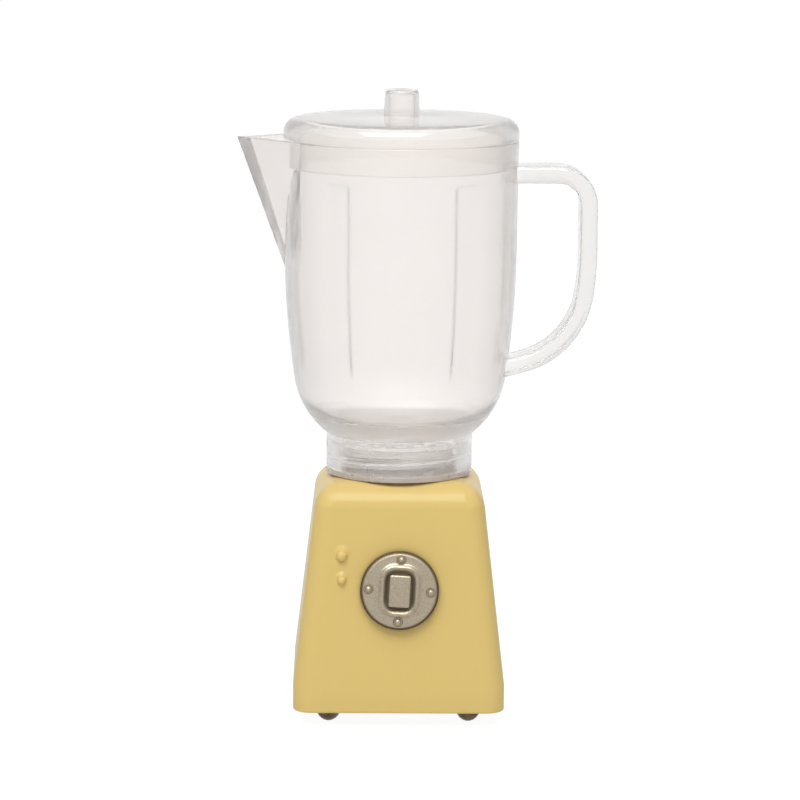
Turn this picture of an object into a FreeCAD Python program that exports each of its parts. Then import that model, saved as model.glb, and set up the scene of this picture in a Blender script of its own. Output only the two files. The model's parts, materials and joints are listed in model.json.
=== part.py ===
import FreeCAD, Part
import os
from math import cos, radians, sin, tan

# Toy blender, doll size: a die-cast motor base on four studs, a clear jar that
# screws onto a threaded boss, a push-in lid and a dial that turns on the front.
# Millimetres, +Z up.  The origin is on the axis of the jar, in the plane that
# the studs stand on.  The handle points to +X, the spout to -X, the dial to -Y.

V = FreeCAD.Vector
ORIGIN = V(0, 0, 0)
UP = V(0, 0, 1)

# ---------------------------------------------------------------- base housing
BASE_BOTTOM = 2.3          # lower edge of the casting above the table
BAND_TOP = 6.4             # the sides are upright up to here, then lean in
BASE_TOP = 38.25           # flat top that the jar mount stands on
BOTTOM_HALF = 16.7         # half the width of the square foot of the casting
TOP_HALF = 13.04           # half the width at the top, before its edges are rounded
CORNER = 3.0               # rounding of the four upright edges
SHOULDER = 3.9             # rounding of the four top edges
BASE_WALL = 1.3
POST_R = 2.3               # posts that take the plate screws
POST_X = 12.9
POST_TOP = 14.0

# ------------------------------------------------- cast bumps on the front face
BUMPS = (                  # x, z, ball radius, mound radius
    (-9.1, 27.1, 0.84, 1.36),
    (-9.1, 23.3, 0.70, 1.02),
)
MOUND_RISE = 0.32
MOUND_LIFT = 0.35          # the mound sits this much above its ball

# ------------------------------------------------------------ plate and studs
PLATE_THICK = 1.0
PLATE_GAP = 0.1            # between the plate and the casting around it
PLATE_Z = 2.6
STUD_XY = 11.1
STUD_R = 1.95
STUD_FLAT_R = 0.55         # small flat at the foot of each dome
STUD_SHANK_R = 0.8
STUD_HEAD_R = 1.2          # the shank is upset over the plate
STUD_HEAD_FLAT_R = 0.5
STUD_HEAD = 0.7

# --------------------------------------------------------------------- screws
SCREW_R = 0.7
SCREW_HEAD_R = 1.6
SCREW_HEAD = 0.9
SCREW_HEAD_ROUND = 0.4
SCREW_POINT_R = 0.2
SCREW_SLOT = 0.4           # width and depth of the slot
HOLE_GAP = 0.05            # radial room around a shank or a spindle
PLATE_SCREW_REACH = 7.0
MOUNT_SCREW_X = 3.6
MOUNT_SCREW_REACH = 3.8

# -------------------------------------------------------- jar mount and thread
PITCH = 1.75
MOUNT_CORE_R = 8.55
MOUNT_CREST_R = 9.2
MOUNT_HEIGHT = 4.65
MOUNT_CHAMFER = 0.35
RIDGE_ROOT = 0.9           # width of a thread ridge where it leaves the wall
RIDGE_CREST = 0.5
RIDGE_EMBED = 0.25
MOUNT_RIDGE_Z = 0.85       # start of the ridge above the foot of the mount
MOUNT_RIDGE_TURNS = 1.75
NECK_RIDGE_TURNS = 1.5

# --------------------------------------------------------------- neck washer
WASHER_Z = 38.3
WASHER_THICK = 0.9
WASHER_R = 11.6
WASHER_HOLE_R = 9.65

# ------------------------------------------------------------------------ jar
NECK_BOTTOM = 39.25
NECK_R = 11.65
NECK_BORE_R = 9.5
NECK_CREST_R = 8.85
BORE_STEP = 43.1           # above this the socket is a little narrower
CEILING_R = 9.1
CEILING = 45.3             # underside of the jar's floor
BOWL_START = 44.75         # where the bowl leaves the neck
FLOOR_TOP = 46.6
RIM = 91.65
JAR_WALL = 0.95
RIM_R = 18.65
BODY_R, BODY_Z = 18.45, 72.5
WAIST_VIA = (17.85, 61.6)
WAIST_R, WAIST_Z = 16.75, 52.9
HIP_VIA = (15.05, 48.6)

# ribs inside the jar
RIB_COUNT = 5
RIB_START = -54.0          # degrees from +X: the front pair is 36 degrees either side
RIB_HALF = 8.4             # half the angle that a rib covers
RIB_RISE = 0.8
RIB_BOTTOM = 52.6
RIB_TOP = 86.3

# spout: a three-cornered funnel, its tip a little above the rim
TIP_X = -26.1
TIP_Z = 91.9
TIP_FOOT_X = -18.3
TIP_FOOT_Z = 70.6
SPOUT_ROOT_X = -12.9
SPOUT_ROOT_Y = 12.75
SPOUT_WALL_X = 1.75        # wall of the funnel, measured along X at its ridge
SPOUT_OVERRUN = 3.0

# handle: a flat strap bent to a D
STRAP = 2.75
STRAP_WIDTH = 7.6
STRAP_ROUND = 0.8
HANDLE_TOP_Z = 86.33
HANDLE_ROOT_X = 17.8
HANDLE_SIDE_X = 29.75
HANDLE_CORNER_R = 4.9
HANDLE_SIDE_END = 73.6
HANDLE_SIDE_R = 40.0
HANDLE_SIDE_TURN = 10.0
HANDLE_HEEL_R = 13.2
HANDLE_HEEL_TURN = 65.0
HANDLE_FOOT_X = 16.4

# ------------------------------------------------------------------------ lid
LID_R = 18.7
LID_EDGE = 91.78
LID_SIDE_TOP = 92.5
LID_SHOULDER_VIA = (18.15, 94.2)
LID_SHOULDER = (16.6, 95.0)
LID_TOP = 95.35
LID_CROWN_VIA = (9.0, 95.28)
PLUG_R = 17.4
PLUG_INNER_R = 16.4
PLUG_BOTTOM = 87.2
LID_UNDER = 93.95
LID_UNDER_CORNER = 0.8
KNOB_FOOT_R = 2.85
KNOB_R = 2.68
KNOB_TOP = 99.5
KNOB_ROUND = 0.45
KNOB_HOLLOW_R = 1.95
KNOB_HOLLOW_TOP = 98.95

# ----------------------------------------------------------------------- dial
DIAL_Z = 21.8
DIAL_TURN = -3.0           # it was left a little off square
DIAL_R = 6.2
DIAL_GAP = 0.15            # between the dial and the casting
DIAL_EDGE = 1.15           # where the rounded edge of the disc ends
DIAL_FACE = 1.55
DIAL_EDGE_ROUND = 0.4
COLLAR = (6.1, 8.5)        # raised collar at its foot: width, height
COLLAR_CREST = (5.1, 7.3)
COLLAR_RISE = 0.55
POCKET = (4.5, 6.2)
POCKET_DEPTH = 0.95
BLOCK = (3.4, 4.95)
BLOCK_RISE = 0.75          # above the face of the disc
BLOCK_ROUND = 0.22
RIVET_RING_R = 4.9
RIVET_R = 0.48
RIVET_RISE = 0.3
RIVET_GROOVE_R = 0.66
RIVET_GROOVE = 0.15
SPINDLE_R = 1.5
SPINDLE_END = -2.3         # inside the casting
FLAT_WASHER = (3.0, 0.3)   # radius, thickness
SPRING_WASHER_R = 2.8
SPRING_WASHER_THICK = 0.25
SPRING_WASHER_CONE = 0.3
DIAL_SCREW_REACH = 2.6


# --------------------------------------------------------------------- helpers
def post(radius, low, high, x=0.0, y=0.0):
    """Upright round bar."""
    return Part.makeCylinder(radius, high - low, V(x, y, low))


def turned(start, *steps):
    """Solid turned about Z.  A step is a point (r, z), or an arc (via, end)."""
    here = V(start[0], 0, start[1])
    edges = []
    for step in steps:
        if isinstance(step[0], tuple):
            via = V(step[0][0], 0, step[0][1])
            end = V(step[1][0], 0, step[1][1])
            edges.append(Part.Arc(here, via, end).toShape())
        else:
            end = V(step[0], 0, step[1])
            edges.append(Part.LineSegment(here, end).toShape())
        here = end
    edges.append(Part.LineSegment(here, V(start[0], 0, start[1])).toShape())
    return Part.Face(Part.Wire(edges)).revolve(ORIGIN, UP, 360)


def rounded_rectangle(half_x, half_y, radius, z):
    """Closed wire in a level plane, centred on Z."""
    edges = []
    bend = radius * sin(radians(45))
    for sx, sy in ((1, 1), (-1, 1), (-1, -1), (1, -1)):
        cx = sx * (half_x - radius)
        cy = sy * (half_y - radius)
        first = V(cx + sx * radius, cy, z)
        last = V(cx, cy + sy * radius, z)
        if sx * sy < 0:
            first, last = last, first
        edges.append(Part.Arc(first, V(cx + sx * bend, cy + sy * bend, z), last).toShape())
    closed = []
    for i, arc in enumerate(edges):
        closed.append(arc)
        start = arc.Vertexes[-1].Point
        end = edges[(i + 1) % 4].Vertexes[0].Point
        closed.append(Part.LineSegment(start, end).toShape())
    return Part.Wire(closed)


def block(half_x, half_y, radius, low, high):
    """Upright block with rounded corners."""
    face = Part.Face(rounded_rectangle(half_x, half_y, radius, low))
    return face.extrude(V(0, 0, high - low))


def flat_faced(*outlines):
    """Solid closed by flat faces, each given by its corners."""
    faces = [Part.Face(Part.makePolygon(list(points) + [points[0]])) for points in outlines]
    solid = Part.Solid(Part.Shell(faces))
    if solid.Volume < 0:
        solid.reverse()
    return solid


def four_sided(half_low, half_high, low, high):
    """Block with a square foot and a square top of its own size."""
    foot, top = [
        [V(half, half, z), V(-half, half, z), V(-half, -half, z), V(half, -half, z)]
        for half, z in ((half_low, low), (half_high, high))
    ]
    sides = [(foot[i - 1], foot[i], top[i], top[i - 1]) for i in range(4)]
    return flat_faced(foot, top, *sides)


def side_half(z):
    """Half the width of the casting at height z, above its upright band."""
    return BOTTOM_HALF + (TOP_HALF - BOTTOM_HALF) * (z - BAND_TOP) / (BASE_TOP - BAND_TOP)


def sector(low_deg, high_deg, radius, low, high):
    """Wedge about Z between two angles."""
    points = [V(0, 0, low)]
    for angle in (low_deg, high_deg):
        points.append(V(radius * cos(radians(angle)), radius * sin(radians(angle)), low))
    points.append(points[0])
    return Part.Face(Part.makePolygon(points)).extrude(V(0, 0, high - low))


def helical_ridge(root_r, crest_r, start_z, turns):
    """Right-hand thread ridge that leaves a wall of radius root_r towards crest_r."""
    into_wall = RIDGE_EMBED if root_r > crest_r else -RIDGE_EMBED
    slope = (RIDGE_ROOT - RIDGE_CREST) / abs(root_r - crest_r)
    foot = RIDGE_ROOT / 2 + slope * RIDGE_EMBED / 2
    tip = RIDGE_CREST / 2
    foot_r = root_r + into_wall
    corners = [V(foot_r, 0, -foot), V(crest_r, 0, -tip), V(crest_r, 0, tip), V(foot_r, 0, foot)]
    outline = Part.makePolygon(corners + corners[:1])
    path = Part.Wire(Part.makeHelix(PITCH, PITCH * turns, root_r))
    ridge = path.makePipeShell([outline], True, True)
    ridge.translate(V(0, 0, start_z))
    return ridge


def rounded_edges(solid, radius, chosen):
    """Fillet of the edges for which chosen(edge) is true."""
    return solid.makeFillet(radius, [edge for edge in solid.Edges if chosen(edge)])


def level_at(z):
    """Test for an edge that lies wholly at height z."""
    def test(edge):
        return all(abs(vertex.Z - z) < 1e-4 for vertex in edge.Vertexes) and abs(
            edge.CenterOfMass.z - z
        ) < 1e-4
    return test


def upright_corner(edge):
    """Test for an edge that climbs at a corner of a square block."""
    low, high = edge.Vertexes
    on_corner = all(abs(abs(end.X) - abs(end.Y)) < 1e-6 for end in (low, high))
    return on_corner and abs(high.Z - low.Z) > 1


def pan_screw(reach):
    """Slotted pan-head screw standing on Z: its head is below z = 0, its shank above."""
    head = post(SCREW_HEAD_R, -SCREW_HEAD, 0)
    head = rounded_edges(head, SCREW_HEAD_ROUND, level_at(-SCREW_HEAD))
    point = Part.makeCone(SCREW_R, SCREW_POINT_R, SCREW_R, V(0, 0, reach - SCREW_R))
    shank = post(SCREW_R, -SCREW_HEAD / 2, reach - SCREW_R).fuse(point)
    length = 3 * SCREW_HEAD_R
    corner = V(-length / 2, -SCREW_SLOT / 2, -SCREW_HEAD)
    slot = Part.makeBox(length, SCREW_SLOT, SCREW_SLOT, corner)
    return head.fuse(shank).cut(slot)


def moved(shape, x, y, z):
    """Copy of a shape, shifted."""
    copy = shape.copy()
    copy.translate(V(x, y, z))
    return copy


# The front face leans back.  This frame has its Z along the face's outward
# normal, its Y up the face and its origin on the face, below the jar's axis.
LEAN = (BOTTOM_HALF - TOP_HALF) / (BASE_TOP - BAND_TOP)
FACE_NORMAL = V(0, -1, LEAN).normalize()


def on_front(x, z):
    """Placement whose XY plane is the front face, at width x and height z."""
    across = V(1, 0, 0)
    turn = FreeCAD.Rotation(across, FACE_NORMAL.cross(across), FACE_NORMAL, "ZXY")
    return FreeCAD.Placement(V(x, -side_half(z), z), turn)


def placed(shape, placement):
    """Copy of a shape, carried by a placement."""
    copy = shape.copy()
    copy.Placement = placement.multiply(copy.Placement)
    return copy


# ------------------------------------------------------------------------ base
def bump(ball_r, mound_r):
    """Low mound with a small ball on it, standing on the XY plane."""
    mound_sphere_r = (mound_r ** 2 + MOUND_RISE ** 2) / (2 * MOUND_RISE)
    mound = Part.makeSphere(mound_sphere_r, V(0, MOUND_LIFT, MOUND_RISE - mound_sphere_r))
    keep = post(mound_r * 2, -BASE_WALL / 2, 4)
    ball = Part.makeSphere(ball_r, V(0, 0, ball_r * 0.1))
    return mound.fuse(ball).common(keep)


def casting(inset, low, high):
    """Upright band with a leaning body on it, its faces moved inwards by inset."""
    foot_half = BOTTOM_HALF - inset
    band = four_sided(foot_half, foot_half, low, BAND_TOP)
    body = four_sided(foot_half, side_half(high) - inset, BAND_TOP, high)
    solid = rounded_edges(band.fuse(body).removeSplitter(), CORNER - inset, upright_corner)
    return rounded_edges(solid, SHOULDER - inset, level_at(high))


def base_housing():
    """Hollow casting, open below, with posts for the plate and holes in its top."""
    outer = casting(0, BASE_BOTTOM, BASE_TOP)
    for x, z, ball_r, mound_r in BUMPS:
        outer = outer.fuse(placed(bump(ball_r, mound_r), on_front(x, z)))
    ceiling = BASE_TOP - BASE_WALL
    shell = outer.cut(casting(BASE_WALL, BASE_BOTTOM - 1, ceiling))
    posts = [post(POST_R, PLATE_Z + PLATE_THICK, POST_TOP, x) for x in (-POST_X, POST_X)]
    shell = shell.fuse([bar.common(outer) for bar in posts])
    holes = [
        post(SCREW_R + HOLE_GAP, PLATE_Z, PLATE_Z + PLATE_SCREW_REACH, x)
        for x in (-POST_X, POST_X)
    ]
    holes += [
        post(SCREW_R + HOLE_GAP, ceiling - 1, BASE_TOP + 1, x)
        for x in (-MOUNT_SCREW_X, MOUNT_SCREW_X)
    ]
    holes.append(placed(post(SPINDLE_R + HOLE_GAP, -BASE_WALL * 3, 1), on_front(0, DIAL_Z)))
    return shell.cut(holes).removeSplitter()


def bottom_plate():
    """Flat plate that closes the casting, drilled for the studs and its screws."""
    half = BOTTOM_HALF - BASE_WALL - PLATE_GAP
    plate = block(half, half, CORNER - BASE_WALL, PLATE_Z, PLATE_Z + PLATE_THICK)
    holes = [post(SCREW_R + HOLE_GAP, 0, 9, x) for x in (-POST_X, POST_X)]
    for x in (-STUD_XY, STUD_XY):
        for y in (-STUD_XY, STUD_XY):
            holes.append(post(STUD_SHANK_R + HOLE_GAP, 0, 9, x, y))
    return plate.cut(holes)


def stud_foot(x, y):
    """Domed stud riveted through the plate; the casting stands on four of them."""
    top = PLATE_Z + PLATE_THICK
    foot = turned(
        (0, 0),
        (STUD_FLAT_R, 0),
        ((STUD_R * 0.8, 0.75), (STUD_R, PLATE_Z - 0.5)),
        (STUD_R, PLATE_Z),
        (STUD_SHANK_R, PLATE_Z),
        (STUD_SHANK_R, top),
        (STUD_HEAD_R, top),
        ((STUD_HEAD_R * 0.82, top + STUD_HEAD * 0.68), (STUD_HEAD_FLAT_R, top + STUD_HEAD)),
        (0, top + STUD_HEAD),
    )
    return moved(foot, x, y, 0)


def plate_screws():
    """Two screws that hold the plate to the posts."""
    screw = pan_screw(PLATE_SCREW_REACH)
    return Part.makeCompound([moved(screw, x, 0, PLATE_Z) for x in (-POST_X, POST_X)])


def jar_mount():
    """Clear threaded boss on top of the casting."""
    top = BASE_TOP + MOUNT_HEIGHT
    core = turned(
        (0, BASE_TOP),
        (MOUNT_CORE_R, BASE_TOP),
        (MOUNT_CORE_R, top - MOUNT_CHAMFER),
        (MOUNT_CORE_R - MOUNT_CHAMFER, top),
        (0, top),
    )
    ridge = helical_ridge(
        MOUNT_CORE_R, MOUNT_CREST_R, BASE_TOP + MOUNT_RIDGE_Z, MOUNT_RIDGE_TURNS
    )
    deep = BASE_TOP - BASE_WALL + MOUNT_SCREW_REACH + 0.1
    holes = [
        post(SCREW_R + HOLE_GAP, BASE_TOP - 1, deep, x)
        for x in (-MOUNT_SCREW_X, MOUNT_SCREW_X)
    ]
    return core.fuse(ridge).cut(holes)


def mount_screws():
    """Two screws from inside the casting into the jar mount."""
    screw = pan_screw(MOUNT_SCREW_REACH)
    ceiling = BASE_TOP - BASE_WALL
    return Part.makeCompound(
        [moved(screw, x, 0, ceiling) for x in (-MOUNT_SCREW_X, MOUNT_SCREW_X)]
    )


# ------------------------------------------------------------------------ dial
def dial():
    """Cast disc with a raised collar, a block in its pocket, rivets and a spindle."""
    disc = turned(
        (0, DIAL_GAP),
        (DIAL_R, DIAL_GAP),
        (DIAL_R, DIAL_EDGE),
        (
            (DIAL_R - DIAL_EDGE_ROUND * 0.3, DIAL_EDGE + DIAL_EDGE_ROUND * 0.7),
            (DIAL_R - DIAL_EDGE_ROUND, DIAL_FACE),
        ),
        (0, DIAL_FACE),
    )
    collar = Part.makeLoft(
        [
            rounded_rectangle(COLLAR[0] / 2, COLLAR[1] / 2, 2.4, DIAL_FACE - 0.1),
            rounded_rectangle(
                COLLAR_CREST[0] / 2, COLLAR_CREST[1] / 2, 1.9, DIAL_FACE + COLLAR_RISE
            ),
        ],
        True,
        True,
    )
    floor = DIAL_FACE + COLLAR_RISE - POCKET_DEPTH
    pocket = block(POCKET[0] / 2, POCKET[1] / 2, 1.2, floor, DIAL_FACE + 2)
    middle = block(BLOCK[0] / 2, BLOCK[1] / 2, 0.35, floor, DIAL_FACE + BLOCK_RISE)
    middle = rounded_edges(middle, BLOCK_ROUND, level_at(DIAL_FACE + BLOCK_RISE))
    body = disc.fuse(collar).cut(pocket).fuse(middle)
    sphere_r = (RIVET_R ** 2 + RIVET_RISE ** 2) / (2 * RIVET_RISE)
    for turn in range(4):
        x = RIVET_RING_R * cos(radians(90 * turn))
        y = RIVET_RING_R * sin(radians(90 * turn))
        groove = post(RIVET_GROOVE_R, DIAL_FACE - RIVET_GROOVE, DIAL_FACE + 0.05, x, y)
        dome = Part.makeSphere(sphere_r, V(x, y, DIAL_FACE + RIVET_RISE - sphere_r))
        dome = dome.common(post(RIVET_R, DIAL_FACE - RIVET_GROOVE - 0.1, DIAL_FACE + 1, x, y))
        body = body.cut(groove).fuse(dome)
    spindle = post(SPINDLE_R, SPINDLE_END, DIAL_GAP + 0.1)
    bore = post(SCREW_R + HOLE_GAP, SPINDLE_END - 1, SPINDLE_END + DIAL_SCREW_REACH + 0.1)
    return body.fuse(spindle).cut(bore)


def dial_washer():
    """Flat washer against the inside of the casting."""
    radius, thick = FLAT_WASHER
    top = -BASE_WALL - HOLE_GAP
    ring = post(radius, top - thick, top)
    return ring.cut(post(SPINDLE_R + HOLE_GAP, top - 1, top + 1))


def dial_spring_washer():
    """Coned spring washer that gives the dial its drag."""
    inner = SPINDLE_R + HOLE_GAP
    low = SPINDLE_END
    high = low + SPRING_WASHER_CONE
    return turned(
        (inner, low),
        (SPRING_WASHER_R, high),
        (SPRING_WASHER_R, high + SPRING_WASHER_THICK),
        (inner, low + SPRING_WASHER_THICK),
    )


def dial_screw():
    """Screw in the end of the spindle that keeps the washers on."""
    return moved(pan_screw(DIAL_SCREW_REACH), 0, 0, SPINDLE_END)


# ------------------------------------------------------------------------- jar
def handle_path():
    """Centre line of the strap: straight, corner, long side, heel, straight."""
    corner = V(HANDLE_SIDE_X - HANDLE_CORNER_R, 0, HANDLE_TOP_Z - HANDLE_CORNER_R)
    bend = HANDLE_CORNER_R * sin(radians(45))
    start = V(HANDLE_ROOT_X, 0, HANDLE_TOP_Z)
    corner_start = V(corner.x, 0, HANDLE_TOP_Z)
    corner_end = V(HANDLE_SIDE_X, 0, corner.z)
    side_end = V(HANDLE_SIDE_X, 0, HANDLE_SIDE_END)
    edges = [
        Part.LineSegment(start, corner_start).toShape(),
        Part.Arc(corner_start, V(corner.x + bend, 0, corner.z + bend), corner_end).toShape(),
        Part.LineSegment(corner_end, side_end).toShape(),
    ]
    here = side_end
    heading = 0.0
    for radius, turn in (
        (HANDLE_SIDE_R, HANDLE_SIDE_TURN),
        (HANDLE_HEEL_R, HANDLE_HEEL_TURN),
    ):
        centre = here + V(-cos(radians(heading)), 0, sin(radians(heading))) * radius
        ends = []
        for angle in (heading + turn / 2, heading + turn):
            ends.append(centre + V(cos(radians(angle)), 0, -sin(radians(angle))) * radius)
        edges.append(Part.Arc(here, ends[0], ends[1]).toShape())
        here = ends[1]
        heading += turn
    drop = (here.x - HANDLE_FOOT_X) / tan(radians(heading))
    edges.append(Part.LineSegment(here, V(HANDLE_FOOT_X, 0, here.z - drop)).toShape())
    return Part.Wire(edges)


def handle():
    """Flat strap with rounded edges, swept along the D."""
    section = rounded_rectangle(STRAP / 2, STRAP_WIDTH / 2, STRAP_ROUND, 0)
    section.rotate(ORIGIN, V(0, 1, 0), 90)
    section.translate(V(HANDLE_ROOT_X, 0, HANDLE_TOP_Z))
    return handle_path().makePipeShell([section], True, False)


def spout_solid(shift_x, overrun):
    """Three-cornered funnel; shifting it along X gives the funnel's inside."""
    ridge = V(TIP_X - TIP_FOOT_X, 0, TIP_Z - TIP_FOOT_Z)
    rise = ridge * (overrun / ridge.z)
    shift = V(shift_x, 0, 0) + rise
    tip = V(TIP_X, 0, TIP_Z) + shift
    foot = V(TIP_FOOT_X, 0, TIP_FOOT_Z) + shift
    left = V(SPOUT_ROOT_X, SPOUT_ROOT_Y, RIM) + shift
    right = V(SPOUT_ROOT_X, -SPOUT_ROOT_Y, RIM) + shift
    return flat_faced((tip, left, right), (tip, left, foot), (tip, right, foot), (left, right, foot))


def bowl(inset, low, high):
    """Turned bowl between two heights, its wall moved inwards by inset."""
    return turned(
        (0, low),
        (NECK_R - inset, low),
        ((HIP_VIA[0] - inset * 0.8, HIP_VIA[1] + inset * 0.6), (WAIST_R - inset, WAIST_Z)),
        ((WAIST_VIA[0] - inset, WAIST_VIA[1]), (BODY_R - inset, BODY_Z)),
        (RIM_R - inset, high),
        (0, high),
    )


def jar():
    """Clear jar in one moulding: neck, bowl, ribs, spout and handle."""
    outer = bowl(0, BOWL_START, RIM)
    neck = post(NECK_R, NECK_BOTTOM, BOWL_START + 0.5)
    body = outer.fuse([neck, spout_solid(0, 0), handle()])
    ribbed = bowl(JAR_WALL, FLOOR_TOP, RIM + 2)
    for i in range(RIB_COUNT):
        middle = RIB_START + i * 360 / RIB_COUNT
        ribbed = ribbed.cut(
            sector(middle - RIB_HALF, middle + RIB_HALF, 2 * RIM_R, RIB_BOTTOM, RIB_TOP)
        )
    core = bowl(JAR_WALL + RIB_RISE, FLOOR_TOP + RIB_RISE, RIM + 2)
    cavity = ribbed.fuse([core, spout_solid(SPOUT_WALL_X, SPOUT_OVERRUN)])
    socket = turned(
        (0, NECK_BOTTOM - 1),
        (NECK_BORE_R, NECK_BOTTOM - 1),
        (NECK_BORE_R, BORE_STEP),
        (CEILING_R, BORE_STEP + NECK_BORE_R - CEILING_R),
        (CEILING_R, CEILING),
        (0, CEILING),
    )
    ridge_z = BASE_TOP + MOUNT_RIDGE_Z + PITCH / 2
    ridge = helical_ridge(NECK_BORE_R, NECK_CREST_R, ridge_z, NECK_RIDGE_TURNS)
    return body.cut([cavity, socket]).fuse(ridge)


def neck_washer():
    """Translucent ring between the casting and the neck of the jar."""
    ring = post(WASHER_R, WASHER_Z, WASHER_Z + WASHER_THICK)
    return ring.cut(post(WASHER_HOLE_R, WASHER_Z - 1, WASHER_Z + 2))


def lid():
    """Clear lid in one moulding: disc, plug skirt and hollow knob."""
    return turned(
        (0, KNOB_HOLLOW_TOP),
        (KNOB_HOLLOW_R, KNOB_HOLLOW_TOP),
        (KNOB_HOLLOW_R, LID_UNDER),
        (PLUG_INNER_R - LID_UNDER_CORNER, LID_UNDER),
        (
            (
                PLUG_INNER_R - LID_UNDER_CORNER * 0.293,
                LID_UNDER - LID_UNDER_CORNER * 0.293,
            ),
            (PLUG_INNER_R, LID_UNDER - LID_UNDER_CORNER),
        ),
        (PLUG_INNER_R, PLUG_BOTTOM),
        (PLUG_R, PLUG_BOTTOM),
        (PLUG_R, LID_EDGE),
        (LID_R, LID_EDGE),
        (LID_R, LID_SIDE_TOP),
        (LID_SHOULDER_VIA, LID_SHOULDER),
        (LID_CROWN_VIA, (KNOB_FOOT_R, LID_TOP)),
        (KNOB_R, KNOB_TOP - KNOB_ROUND),
        (
            (KNOB_R - KNOB_ROUND * 0.293, KNOB_TOP - KNOB_ROUND * 0.293),
            (KNOB_R - KNOB_ROUND, KNOB_TOP),
        ),
        (0, KNOB_TOP),
    )


# ------------------------------------------------------------------------ build
def build():
    """Every sub-part by the name of its node."""
    dial_place = on_front(0, DIAL_Z).multiply(
        FreeCAD.Placement(ORIGIN, FreeCAD.Rotation(UP, DIAL_TURN))
    )
    parts = {
        "base_housing": base_housing(),
        "bottom_plate": bottom_plate(),
        "plate_screws": plate_screws(),
        "jar_mount": jar_mount(),
        "mount_screws": mount_screws(),
        "neck_washer": neck_washer(),
        "jar": jar(),
        "lid": lid(),
        "dial": placed(dial(), dial_place),
        "dial_washer": placed(dial_washer(), dial_place),
        "dial_spring_washer": placed(dial_spring_washer(), dial_place),
        "dial_screw": placed(dial_screw(), dial_place),
    }
    for depth, y in (("front", -STUD_XY), ("rear", STUD_XY)):
        for side, x in (("left", -STUD_XY), ("right", STUD_XY)):
            parts["foot_%s_%s" % (depth, side)] = stud_foot(x, y)
    return parts


os.makedirs("parts", exist_ok=True)
for name, shape in build().items():
    print(name, shape.isValid(), len(shape.Solids), round(shape.Volume, 2))
    shape.exportStep("parts/%s.step" % name)
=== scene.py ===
import json
from contextlib import contextmanager
from math import atan2, ceil, cos, hypot, pi, radians, sin, tan

import bmesh
import bpy
from mathutils import Matrix, Quaternion, Vector


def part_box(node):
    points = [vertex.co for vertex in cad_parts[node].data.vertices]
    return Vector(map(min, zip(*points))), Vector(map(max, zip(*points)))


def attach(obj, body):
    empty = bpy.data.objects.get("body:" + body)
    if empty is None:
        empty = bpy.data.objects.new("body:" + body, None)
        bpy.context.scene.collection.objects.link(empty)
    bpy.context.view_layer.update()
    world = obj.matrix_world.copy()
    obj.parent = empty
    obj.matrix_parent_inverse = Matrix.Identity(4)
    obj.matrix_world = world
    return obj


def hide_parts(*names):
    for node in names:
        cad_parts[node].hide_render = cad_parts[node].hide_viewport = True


bl_info = {
    "name": "Toy Blender",
    "version": (1, 0, 0),
    "blender": (4, 5, 0),
    "location": "View3D > Sidebar > Toy Blender",
    "description": "Dresses the frame of a doll-size toy blender with finished pieces",
    "category": "Add Mesh",
}

# A doll-size toy blender in metres, +Z up.  The jar's axis is Z, the studs stand on z = 0,
# the dial faces -Y, the handle points to +X and the spout to -X.
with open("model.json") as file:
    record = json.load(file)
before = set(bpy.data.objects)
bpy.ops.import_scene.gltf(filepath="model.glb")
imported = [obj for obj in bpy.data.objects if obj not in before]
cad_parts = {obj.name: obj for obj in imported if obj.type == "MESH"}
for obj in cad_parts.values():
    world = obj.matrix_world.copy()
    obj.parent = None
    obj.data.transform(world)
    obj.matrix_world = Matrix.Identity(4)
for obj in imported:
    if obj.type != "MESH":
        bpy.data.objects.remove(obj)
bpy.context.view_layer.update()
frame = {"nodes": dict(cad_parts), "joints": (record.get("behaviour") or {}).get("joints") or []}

MM = 0.001
UP = Vector((0, 0, 1))
MERGE = 0.001 * MM            # points nearer than this are one
ROUND_STEPS = 180             # facets round the jar and the lid
CAVITY_STEPS = 360            # and round the inside, whose ribs need fine ones
SMALL_ROUND_STEPS = 64        # facets round studs, rivets and holes
ARC_TURN = radians(12)        # an outline's arc has a point at least this often
ARC_RUN = 0.9 * MM            # and at least this near to the last one
ARC_INSET = 0.293             # a quarter arc's middle lies in from the corner by this share of its radius
CUT_PAST = MM                 # how far a cutter goes past what it cuts

BASE_LOW, BASE_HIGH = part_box("base_housing")
MOUNT_LOW, MOUNT_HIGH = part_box("jar_mount")
WASHER_LOW, WASHER_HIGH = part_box("neck_washer")
JAR_LOW, JAR_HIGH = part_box("jar")
LID_LOW, LID_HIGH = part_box("lid")
PLATE_LOW, PLATE_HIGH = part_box("bottom_plate")
DIAL_JOINT = next(joint for joint in frame["joints"] if joint["name"] == "dial_turn")


# ------------------------------------------------------------------ properties
def size(name, millimetres, description):
    """A length of the toy that a user may change."""
    return bpy.props.FloatProperty(
        name=name, description=description, default=millimetres * MM, min=0, unit="LENGTH", precision=5
    )


def angle(name, degrees, description):
    """An angle that a user may change."""
    return bpy.props.FloatProperty(
        name=name, description=description, default=radians(degrees), subtype="ANGLE"
    )


def tint(name, value, description):
    """A colour of the toy that a user may change."""
    return bpy.props.FloatVectorProperty(
        name=name, description=description, default=value, min=0, max=1, size=3, subtype="COLOR"
    )


class BaseSizes(bpy.types.PropertyGroup):
    """Sizes of the painted casting and its studs"""

    band: size("Band", 6.4, "Height up to which the sides are upright")
    top_half: size("Half top", 13.04, "Half the width at the top, before its edges are rounded")
    corner: size("Corner", 3.0, "Rounding of the four upright edges")
    shoulder: size("Shoulder", 3.9, "Rounding of the four top edges")
    hem: size("Hem", 0.35, "Rounding of the lower edge")
    wall: size("Wall", 1.3, "Thickness of the casting")
    stud: size("Stud", 1.95, "Radius of a stud's dome")


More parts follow.
